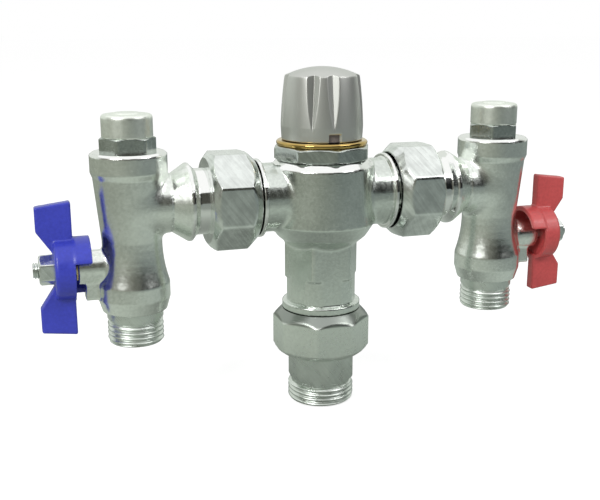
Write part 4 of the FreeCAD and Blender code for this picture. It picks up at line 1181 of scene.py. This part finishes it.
@dataclass
class OutletTail:
    """Outlet tail: neck, hexagon and threaded end."""

    start: float = 13.0
    hex_start: float = 18.6
    hex_end: float = 29.8
    end: float = 38.4
    across: float = 24.0
    neck_r: float = 12.1
    relief_r: float = 11.9
    thread_r: float = 13.2205
    pitch: float = 1.814
    bore_r: float = 9.5

    def build(self) -> None:
        """Builds and dresses the tail."""
        corner_r = self.across / math.sqrt(3)
        relief = self.hex_end + 1.2
        form = TurnedForm(
            [(self.bore_r, self.start, 0.2), (self.neck_r, self.start, 0.3),
             (self.neck_r, self.hex_start, 0.1),
             (corner_r - 1.0, self.hex_start, 0.1), (corner_r - 0.1, self.hex_start + 1.0, 0.3),
             (corner_r - 0.1, self.hex_end - 1.0, 0.3), (corner_r - 1.5, self.hex_end, 0.2),
             (self.relief_r, self.hex_end, 0.1), (self.relief_r, relief, 0.1),
             (self.thread_r, relief + 0.7, 0.1),
             (self.thread_r, self.end - 0.9, 0.2), (self.thread_r - 0.9, self.end, 0.15),
             (self.bore_r, self.end, 0.3)],
            rule=both(flats(6, self.across, self.hex_start, self.hex_end, 30, 0.3),
                      thread(self.thread_r, self.pitch, relief, self.end)),
            ring=True, segments=120, step=0.34,
        )
        made = form.build("outlet_tail_visible", Pose.OUTLET)
        dress(made, THREAD_NICKEL, "valve", "turned_nickel", "outlet_tailpiece")


@dataclass
class TeeBody:
    """Cast tee: barrel, arm with its cone and bead, stem boss and stop lug."""

    top: float = 19.9
    rim_r: float = 14.0
    rim_low: float = 12.7
    cast_r: float = 13.3
    waist_r: float = 11.05
    waist: float = -12.5
    hip_r: float = 13.4
    hip: float = -29.0
    hip_low: float = -34.5
    bottom_r: float = 12.0
    bottom: float = -39.3
    arm_r: float = 10.6
    edge: float = 60.3
    bead_r: float = 14.3
    bead: float = 53.0
    neck_r: float = 12.1
    tail: float = 41.0
    boss_r: float = 6.2
    boss_end: float = 20.4
    waist_hollow: float = 0.7
    rim_slope: float = 2.0
    rim_edge: float = 0.9
    bead_slope: float = 2.3
    bead_half: float = 0.4
    lug_x: float = 13.5
    lug_half: tuple = (4.5, 3.5, 6.0)
    grid_step: float = 0.52

    def rule(self, points: Array) -> Array:
        """Returns the signed distance to the casting, hot side.

        Args:
            points: Points in millimetres from the arm axis.

        Returns:
            The distances.
        """
        x, y, z = points[:, 0], points[:, 1], points[:, 2]
        upright = np.hypot(x - PLACE.inlet_x, y)
        curve = []
        for step in range(1, 6):
            share = step / 6
            hollow = self.waist_hollow * 4 * share * (1 - share)
            curve.append((self.hip_r + (self.waist_r - self.hip_r) * share - hollow,
                          self.hip + (self.waist - self.hip) * share))
        barrel = turned([
            (AXIS, self.bottom), (self.bottom_r, self.bottom), (self.hip_r, self.hip_low),
            (self.hip_r, self.hip), *curve, (self.waist_r, self.waist),
            (self.cast_r - 0.1, self.rim_low - self.rim_slope), (self.rim_r, self.rim_low),
            (self.rim_r, self.top - self.rim_edge), (self.rim_r - self.rim_edge, self.top), (AXIS, self.top),
        ], 0.3)(upright, z)
        level = np.hypot(y, z)
        arm = turned([
            (AXIS, PLACE.inlet_x), (AXIS, self.tail), (self.neck_r, self.tail),
            (self.neck_r, self.bead - self.bead_slope), (self.bead_r, self.bead - self.bead_half),
            (self.bead_r, self.bead + self.bead_half), (self.arm_r - 0.5, self.edge - 0.5),
            (self.arm_r, self.edge), (self.arm_r, PLACE.inlet_x),
        ][::-1], 0.18)(level, x)
        side = np.hypot(y, z - PLACE.stem_height)
        boss = turned([
            (AXIS, 0), (self.boss_r, 0), (self.boss_r, self.boss_end), (AXIS, self.boss_end),
        ], 0.4)(side, x - PLACE.inlet_x)
        lug = self.block(x - PLACE.inlet_x - self.lug_x, y, z - PLACE.stem_height + self.lug_half[2],
                         self.lug_half, 0.5)
        casting = fillet(barrel, arm, 2.4)
        return fillet(casting, fillet(boss, lug, 0.8), 1.4)

    @staticmethod
    def block(x: Array, y: Array, z: Array, half: tuple, rounding: float) -> Array:
        """Returns the signed distance to a rounded block.

        Args:
            x: First coordinate from its middle.
            y: Second coordinate from its middle.
            z: Third coordinate from its middle.
            half: Half sizes.
            rounding: Radius of its edges.

        Returns:
            The distances.
        """
        gaps = np.stack([np.abs(x) - half[0], np.abs(y) - half[1], np.abs(z) - half[2]], axis=1) + rounding
        return np.linalg.norm(np.maximum(gaps, 0), axis=1) + np.minimum(gaps.max(axis=1), 0) - rounding

    def build(self) -> None:
        """Builds the casting once and dresses it for both sides."""
        form = CastForm(self.rule, (40, -15.5, -40.5), (96, 15.5, 21), self.grid_step)
        points, faces = form.points_and_faces()
        machined = np.where((points[:, 2] > self.top - 1.1) | (points[:, 0] < self.bead + 0.5), 1.0, 0.0)
        for side in Side:
            placed = points * np.array([side.value, 1, 1])
            piece = cast_object(side.label + "tee", placed, faces, side is Side.COLD, machined)
            dress(piece, TEE_NICKEL, "valve", "cast_nickel", side.label + "tee_body")


@dataclass
class StrainerPlug:
    """Six-sided plug over the strainer and the round cap of its test point."""

    base: float = 19.9
    hex_top: float = 25.1
    across: float = 18.2
    turned_r: float = 10.3
    cap_r: float = 9.25
    cap_top: float = 33.4
    cap_edge: float = 1.6
    button_r: float = 4.6
    button_rise: float = 0.5
    shank_r: float = 9.7
    shank_length: float = 8.7
    spigot_r: float = 6.8
    spigot_height: float = 5.4

    def build(self, side: Side) -> None:
        """Builds and dresses the plug and cap of a side.

        Args:
            side: The side.
        """
        shank_low = self.base - self.shank_length
        spigot_top = self.hex_top + self.spigot_height
        plug = TurnedForm(
            [(0, shank_low, 0), (self.shank_r, shank_low, 0.2), (self.shank_r, self.base, 0.1),
             (self.turned_r, self.base, 0.2), (self.turned_r, self.hex_top - 0.5, 0.25),
             (self.turned_r - 0.9, self.hex_top, 0.2), (self.spigot_r, self.hex_top, 0.1),
             (self.spigot_r, spigot_top, 0.3), (0, spigot_top, 0)],
            rule=flats(6, self.across, self.base - 0.01, self.hex_top + 0.01, edge=0.25),
            segments=180, step=0.8,
        )
        made = plug.build(side.label + "plug_visible", Pose.INLET, side)
        dress(made, PLUG_SHADED_NICKEL, "valve", "turned_nickel", side.label + "strainer_plug")
        cap = TurnedForm(
            [(self.spigot_r + 0.1, self.hex_top, 0), (self.cap_r - 0.3, self.hex_top, 0.1),
             (self.cap_r, self.hex_top + 0.35, 0.2), (self.cap_r, self.cap_top, self.cap_edge),
             (self.button_r + 0.5, self.cap_top, 0.3),
             (self.button_r, self.cap_top + self.button_rise, 0.3), (0, self.cap_top + self.button_rise, 0)],
            segments=160, step=1.0,
        )
        made = cap.build(side.label + "cap_visible", Pose.INLET, side)
        dress(made, CAP_SATIN, "valve", "turned_nickel", side.label + "plug_cap")


@dataclass
class InletAdapter:
    """Screwed inlet end: neck, groove and pipe thread."""

    top: float = -29.4
    tee_bottom: float = -39.3
    neck_low: float = -42.2
    groove_low: float = -43.4
    end: float = -51.8
    neck_r: float = 10.9
    shank_r: float = 9.6
    thread_r: float = 10.477
    pitch: float = 1.814
    bore_r: float = 6.6

    def build(self, side: Side) -> None:
        """Builds and dresses the adapter of a side.

        Args:
            side: The side.
        """
        form = TurnedForm(
            [(self.bore_r, self.end, 0.3), (self.thread_r - 0.9, self.end, 0.15),
             (self.thread_r, self.end + 0.9, 0.15), (self.thread_r, self.groove_low - 0.5, 0.1),
             (self.shank_r, self.groove_low, 0.1), (self.shank_r, self.neck_low, 0.1),
             (self.neck_r, self.neck_low, 0.2), (self.neck_r, self.tee_bottom, 0.05),
             (self.shank_r, self.tee_bottom, 0.05), (self.shank_r, self.top, 0.2),
             (self.bore_r, self.top, 0.2)],
            rule=thread(self.thread_r, self.pitch, self.end, self.groove_low),
            ring=True, segments=96, step=0.34,
        )
        made = form.build(side.label + "adapter_visible", Pose.INLET, side)
        dress(made, THREAD_NICKEL, "valve", "turned_nickel", side.label + "inlet_adapter")


@dataclass
class Isolator:
    """Butterfly handle with its stop skirt, its nut and the stem."""

    inner: float = 21.5
    depth: float = 12.7
    span: float = 50.0
    slope: float = 1.6
    thickness: float = 4.6
    shoulder: float = 14.4
    waist_depth: float = 7.0
    waist_half: float = 5.9
    hub_r: float = 11.2
    skirt_r: float = 11.6
    skirt_wall: float = 2.0
    skirt_start: float = 15.5
    stop_half: float = 3.85
    cup_depth: float = 1.8
    bore_r: float = 3.05
    bore_half: float = 2.45
    nut_across: float = 10.0
    nut_length: float = 5.4
    stem_start: float = 6.5
    stem_tongue_r: float = 2.7
    stem_flange: tuple = (9.7, 11.4)
    stem_flange_r: float = 4.4
    stem_shaft_r: float = 3.2
    stem_flats_r: float = 2.4
    stem_thread_r: float = 3.0
    stem_pitch: float = 0.9
    stem_end: float = 36.0
    grid_step: float = 0.42

    def rule(self, points: Array) -> Array:
        """Returns the signed distance to the handle, from the stem axis and the inlet axis.

        Args:
            points: Points in millimetres, X out from the inlet axis and Z up from the stem.

        Returns:
            The distances.
        """
        x, y, z = points[:, 0], points[:, 1], points[:, 2]
        outer = self.inner + self.depth
        waist = self.inner + self.waist_depth
        half = self.span / 2
        edge = 0.7
        corners = [
            (self.inner, -half), (outer, -half + self.slope), (outer, -self.shoulder),
            (waist, -self.waist_half), (waist, self.waist_half), (outer, self.shoulder),
            (outer, half - self.slope), (self.inner, half),
        ]
        flat = outline_distance(x, z, inset(corners, edge))
        gaps = np.stack([flat, np.abs(y) - self.thickness / 2 + edge], axis=1)
        blade = np.linalg.norm(np.maximum(gaps, 0), axis=1) + np.minimum(gaps.max(axis=1), 0) - edge
        around = np.hypot(y, z)
        hub_foot = waist - 1.5
        skirt_inside = self.skirt_r - self.skirt_wall
        skirt_end = self.inner + 0.8
        hub = turned([
            (AXIS, self.inner), (self.hub_r, self.inner), (self.hub_r, waist), (AXIS, waist),
        ], 1.3)(around, x)
        plain_hub = turned([
            (AXIS, self.inner), (self.hub_r, self.inner), (self.hub_r, hub_foot), (AXIS, hub_foot),
        ], 0.1)(around, x)
        hub = np.minimum(hub, plain_hub)
        skirt = turned([
            (skirt_inside, self.skirt_start), (self.skirt_r, self.skirt_start),
            (self.skirt_r, self.inner - 0.6), (self.hub_r, skirt_end), (skirt_inside, skirt_end),
        ], 0.25)(around, x)
        gap = np.maximum(np.maximum(y, z) - self.stop_half, x - self.inner)
        skirt = np.maximum(skirt, -gap)
        cup = np.maximum(around - skirt_inside, x - self.inner - self.cup_depth)
        body = np.maximum(np.minimum(hub, skirt), -cup)
        bore = np.maximum(around - self.bore_r, np.abs(y) - self.bore_half)
        return np.maximum(fillet(body, np.maximum(blade, -cup), 1.0), -bore)

    def build(self) -> None:
        """Builds the handle once and dresses both sides' pieces."""
        form = CastForm(self.rule, (14.5, -13, -26), (35.5, 13, 26), self.grid_step)
        points, faces = form.points_and_faces()
        coats = {Side.COLD: (BLUE_COAT, "blue_handle"), Side.HOT: (RED_COAT, "red_handle")}
        for side in Side:
            placed = points.copy()
            placed[:, 0] = side.value * (placed[:, 0] + PLACE.inlet_x)
            placed[:, 2] += PLACE.stem_height
            body = side.label + "isolator"
            unmachined = np.zeros(len(placed))
            piece = cast_object(side.label + "butterfly_handle", placed, faces, side is Side.COLD, unmachined)
            finish, slot = coats[side]
            dress(piece, finish, body, slot, side.label + "handle")
            self.fittings(side, body)

    def fittings(self, side: Side, body: str) -> None:
        """Builds the nut and the stem of a side.

        Args:
            side: The side.
            body: Body that the moving ones ride on.
        """
        low = self.inner + self.waist_depth
        high = low + self.nut_length
        corner_r = self.nut_across / math.sqrt(3)
        nut = TurnedForm(
            [(self.bore_r, low, 0), (corner_r, low, 0.2), (corner_r, high - 0.7, 0.2),
             (corner_r - 1.0, high, 0.2), (self.bore_r, high, 0.2)],
            rule=flats(6, self.nut_across, low, high, edge=0.2), ring=True, segments=96, step=0.5,
        )
        made = nut.build(side.label + "nut_visible", Pose.STEM, side)
        dress(made, TURNED_NICKEL, body, "turned_nickel", side.label + "handle_nut")
        flange_low, flange_high = self.stem_flange
        neck_end = self.inner + self.cup_depth
        stem = TurnedForm(
            [(0, self.stem_start, 0), (self.stem_tongue_r, self.stem_start, 0.2),
             (self.stem_tongue_r, flange_low, 0.1), (self.stem_flange_r, flange_low, 0.2),
             (self.stem_flange_r, flange_high, 0.2), (self.stem_shaft_r, flange_high, 0.1),
             (self.stem_shaft_r, neck_end, 0.1), (self.stem_flats_r, neck_end, 0.1),
             (self.stem_flats_r, low, 0.05), (self.stem_thread_r, low, 0.05),
             (self.stem_thread_r, self.stem_end - 0.5, 0.15), (self.stem_thread_r - 0.5, self.stem_end, 0.1),
             (0, self.stem_end, 0)],
            rule=thread(self.stem_thread_r, self.stem_pitch, low + 4, self.stem_end + 1),
            segments=48, step=0.24,
        )
        made = stem.build(side.label + "stem_visible", Pose.STEM, side)
        dress(made, TURNED_NICKEL, body, "turned_nickel", side.label + "stem")


@dataclass(frozen=True)
class InnerPieces:
    """Solids that keep their own mesh: seals, springs and what is sealed inside."""

    centre: dict = field(default_factory=lambda: {
        "bonnet_o_ring": SEAL_RUBBER, "spindle_o_ring": SEAL_RUBBER, "shuttle_o_ring": SEAL_RUBBER,
        "outlet_gasket": SEAL_RUBBER, "adjusting_spindle": BARE_BRASS, "drive_sleeve": BARE_BRASS,
        "sensing_element": BARE_BRASS, "outlet_split_ring": BARE_BRASS, "spindle_clip": SPRING_STEEL,
        "overtravel_spring": SPRING_STEEL, "element_piston": SPRING_STEEL, "return_spring": SPRING_STEEL,
        "shuttle": WHITE_MOULDING,
    })
    sides: dict = field(default_factory=lambda: {
        "split_ring": BARE_BRASS, "union_gasket": SEAL_RUBBER, "check_cage": WHITE_MOULDING,
        "check_poppet": WHITE_MOULDING, "check_spring": SPRING_STEEL, "plug_o_ring": SEAL_RUBBER,
        "strainer_screen": SPRING_STEEL, "ball": TURNED_NICKEL, "ball_seats": WHITE_MOULDING,
        "stem_packing": SEAL_RUBBER, "gland_nut": BARE_BRASS,
    })

    def dress_all(self) -> None:
        """Gives each of these solids its finish."""
        chosen = dict(self.centre)
        for side in Side:
            for name, finish in self.sides.items():
                chosen[side.label + name] = finish
        for name, finish in chosen.items():
            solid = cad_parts[name]
            slots = solid.data.materials
            for index in range(len(slots)):
                slots[index] = finish.material()
            LOG.info("%s: keeps its solid, %s", name, finish.name)


# ---------------------------------------------------------------------------------------------
# Studio
# ---------------------------------------------------------------------------------------------
@dataclass
class Studio:
    """Camera, white world, pale floor, reflected cards and two soft lamps."""

    lens: float = 54.53
    camera_from_axis: tuple = (-0.1147, -0.3303, 0.0654)
    forward: tuple = (0.2961, 0.9234, -0.2441)
    card_radius: float = 0.9
    band_low: float = 0.1
    band_high: float = 0.78

    def camera(self) -> None:
        """Adds the camera."""
        data = bpy.data.cameras.new("camera")
        data.lens = self.lens
        data.sensor_width = 36.0
        data.clip_start = 0.01
        data.clip_end = 30.0
        made = bpy.data.objects.new("camera", data)
        x, y, z = self.camera_from_axis
        made.location = (x, y, z + PLACE.arm_height * MM)
        made.rotation_mode = "QUATERNION"
        made.rotation_quaternion = Vector(self.forward).to_track_quat("-Z", "Y")
        bpy.context.scene.collection.objects.link(made)
        bpy.context.scene.camera = made

    @staticmethod
    def seen(wiring: Wiring) -> bpy.types.NodeSocket:
        """Returns 1 for camera, glossy and transmission rays.

        Args:
            wiring: Wiring of the tree.

        Returns:
            The share.
        """
        path = wiring.add("ShaderNodeLightPath")
        total = wiring.combine("ADD", path.outputs["Is Camera Ray"], path.outputs["Is Glossy Ray"])
        total = wiring.combine("ADD", total, path.outputs["Is Transmission Ray"])
        return wiring.combine("MINIMUM", total, 1.0)

    def world(self) -> None:
        """Sets a white backdrop and a plain level of soft light."""
        world = bpy.data.worlds.new("studio_white")
        world.use_nodes = True
        world.node_tree.nodes.clear()
        wiring = Wiring(world.node_tree)
        out = wiring.add("ShaderNodeOutputWorld")
        plain = wiring.add("ShaderNodeBackground")
        plain.inputs["Color"].default_value = (1, 1, 1, 1)
        plain.inputs["Strength"].default_value = 0.55
        white = wiring.add("ShaderNodeBackground")
        white.inputs["Color"].default_value = (1, 1, 1, 1)
        white.inputs["Strength"].default_value = 1.0
        mix = wiring.add("ShaderNodeMixShader")
        wiring.join(self.seen(wiring), mix.inputs[0])
        wiring.join(plain.outputs[0], mix.inputs[1])
        wiring.join(white.outputs[0], mix.inputs[2])
        wiring.join(mix.outputs[0], out.inputs["Surface"])
        bpy.context.scene.world = world

    def floor(self) -> None:
        """Adds the pale floor, which keeps the valve's shadow."""
        size = 8.0
        corners = [(-size, -size, 0), (size, -size, 0), (size, size, 0), (-size, size, 0)]
        made = self.sheet("floor", corners, [(0, 1, 2, 3)])
        made.location = (0, 0, -0.0006)
        material = bpy.data.materials.new("pale_floor")
        material.use_nodes = True
        tree = material.node_tree
        tree.nodes.clear()
        wiring = Wiring(tree)
        out = wiring.add("ShaderNodeOutputMaterial")
        diffuse = wiring.add("ShaderNodeBsdfDiffuse")
        diffuse.inputs["Color"].default_value = (0.5, 0.5, 0.5, 1)
        glow = wiring.add("ShaderNodeEmission")
        glow.inputs["Color"].default_value = (1, 1, 1, 1)
        wiring.join(wiring.combine("MULTIPLY", self.seen(wiring), 0.72), glow.inputs["Strength"])
        both_shaders = wiring.add("ShaderNodeAddShader")
        wiring.join(diffuse.outputs[0], both_shaders.inputs[0])
        wiring.join(glow.outputs[0], both_shaders.inputs[1])
        wiring.join(both_shaders.outputs[0], out.inputs["Surface"])
        made.data.materials.append(material)

    @staticmethod
    def sheet(name: str, points: list, faces: list) -> bpy.types.Object:
        """Makes a plain sheet for the studio.

        Args:
            name: Name of the object.
            points: Its points, in metres.
            faces: Its faces.

        Returns:
            The object.
        """
        mesh = bpy.data.meshes.new(name)
        mesh.from_pydata(points, [], faces)
        made = bpy.data.objects.new(name, mesh)
        bpy.context.scene.collection.objects.link(made)
        return made

    def card(self, name: str, points: list, faces: list, left: tuple, right: tuple, lift: float = 0.0,
             back: Optional[tuple] = None) -> None:
        """Adds a card that only shows in reflections.

        Args:
            name: Name of the card.
            points: Its points.
            faces: Its faces.
            left: Colour on the cold side.
            right: Colour on the hot side.
            lift: Share of painted light round the valve: the card glows brighter near it and darker straight
                under it, a painted shadow.
            back: Colour behind the valve, or None where it doesn't change.
        """
        made = self.sheet(name, points, faces)
        material = bpy.data.materials.new(name)
        material.use_nodes = True
        tree = material.node_tree
        tree.nodes.clear()
        wiring = Wiring(tree)
        out = wiring.add("ShaderNodeOutputMaterial")
        glow = wiring.add("ShaderNodeEmission")
        place = wiring.add("ShaderNodeTexCoord").outputs["Object"]
        split = wiring.add("ShaderNodeSeparateXYZ")
        wiring.join(place, split.inputs[0])
        share = wiring.add("ShaderNodeMapRange")
        share.inputs["From Min"].default_value = -0.5
        share.inputs["From Max"].default_value = 0.4
        wiring.join(split.outputs[0], share.inputs["Value"])
        mix = wiring.add("ShaderNodeMix", data_type="RGBA")
        mix.inputs[6].default_value = (*left, 1)
        mix.inputs[7].default_value = (*right, 1)
        wiring.join(share.outputs[0], mix.inputs[0])
        paint = mix.outputs[2]
        if back is not None:
            behind = wiring.add("ShaderNodeMapRange", interpolation_type="SMOOTHSTEP")
            behind.inputs["From Min"].default_value = -0.1
            behind.inputs["From Max"].default_value = 0.4
            wiring.join(split.outputs[1], behind.inputs["Value"])
            around = wiring.add("ShaderNodeMix", data_type="RGBA")
            around.inputs[7].default_value = (*back, 1)
            wiring.join(behind.outputs[0], around.inputs[0])
            wiring.join(paint, around.inputs[6])
            paint = around.outputs[2]
        wiring.join(paint, glow.inputs["Color"])
        # Painted light: the card glows brighter round the valve and darker straight under it, a painted
        # contact shadow in the reflections.
        reach = wiring.add("ShaderNodeVectorMath", operation="LENGTH")
        wiring.join(place, reach.inputs[0])
        near = wiring.add("ShaderNodeMapRange", interpolation_type="SMOOTHSTEP")
        near.inputs["From Min"].default_value = 0.14
        near.inputs["From Max"].default_value = 0.32
        near.inputs["To Min"].default_value = 1.0 + lift
        near.inputs["To Max"].default_value = 1.0
        wiring.join(reach.outputs["Value"], near.inputs["Value"])
        under = wiring.add("ShaderNodeMapRange", interpolation_type="SMOOTHSTEP")
        under.inputs["From Max"].default_value = 0.13
        under.inputs["To Min"].default_value = 1.0 - 0.8 * lift
        wiring.join(reach.outputs["Value"], under.inputs["Value"])
        wiring.join(wiring.combine("MULTIPLY", near.outputs[0], under.outputs[0]), glow.inputs["Strength"])
        wiring.join(glow.outputs[0], out.inputs["Surface"])
        made.data.materials.append(material)
        made.visible_camera = False
        made.visible_diffuse = False
        made.visible_shadow = False
        made.visible_transmission = False

    def cards(self) -> None:
        """Adds the grey table card and the dark band at the horizon: glowing sheets that paint the metal's
        reflections, with other colours on the cold and hot sides.
        """
        count = 64
        rim = []
        for step in range(count):
            angle = 2 * math.pi * step / count
            rim.append((self.card_radius * math.cos(angle), self.card_radius * math.sin(angle), 0.0))
        lower = [(x, y, self.band_low) for x, y, _ in rim]
        upper = [(x, y, self.band_high) for x, y, _ in rim]
        walls = []
        for step in range(count):
            beside = (step + 1) % count
            walls.append((step, beside, count + beside, count + step))
        table = [(x, y, -0.0003) for x, y, _ in rim]
        self.card("table_card", table + lower, [tuple(range(count))] + walls,
                  (0.31, 0.33, 0.28), (0.215, 0.245, 0.235), lift=0.65)
        self.card("horizon_band", lower + upper, walls, (0.2, 0.2, 0.17), (0.006, 0.007, 0.007),
                  back=(0.75, 0.78, 0.74))

    @staticmethod
    def lamp(name: str, place: tuple, aim: tuple, size: float, power: float) -> None:
        """Adds a soft square lamp.

        Args:
            name: Name of the lamp.
            place: Its place.
            aim: Point that it faces.
            size: Side of the square.
            power: Its power.
        """
        data = bpy.data.lights.new(name, "AREA")
        data.shape = "SQUARE"
        data.size = size
        data.energy = power
        made = bpy.data.objects.new(name, data)
        made.location = place
        made.rotation_mode = "QUATERNION"
        made.rotation_quaternion = (Vector(aim) - Vector(place)).to_track_quat("-Z", "Y")
        bpy.context.scene.collection.objects.link(made)

    def build(self) -> None:
        """Builds the studio."""
        self.camera()
        self.world()
        self.floor()
        self.cards()
        self.lamp("key_lamp", (-0.75, -0.55, 0.6), (0, 0, 0.07), 0.4, 6.0)
        self.lamp("fill_lamp", (0.8, -0.6, 0.7), (0, 0, 0.07), 0.6, 4.5)
        settings = bpy.context.scene.view_settings
        settings.view_transform = "Standard"
        LOG.info("studio ready")


def main() -> None:
    """Builds every sub-assembly in order."""
    logging.basicConfig(level=logging.INFO, format="%(name)s: %(message)s")
    sand_grain_group()
    tool_mark_group()
    Studio().build()
    MixingBody().build()
    Bonnet().build()
    Knob().build()
    for node, pose, side in (
        ("cold_union_nut", Pose.ARM, Side.COLD),
        ("hot_union_nut", Pose.ARM, Side.HOT),
        ("outlet_union_nut", Pose.OUTLET, Side.HOT),
    ):
        Union().build(node, pose, side)
    OutletTail().build()
    TeeBody().build()
    for side in Side:
        StrainerPlug().build(side)
        InletAdapter().build(side)
    Isolator().build()
    InnerPieces().dress_all()
    bpy.context.view_layer.update()


if __name__ == "__main__":
    main()
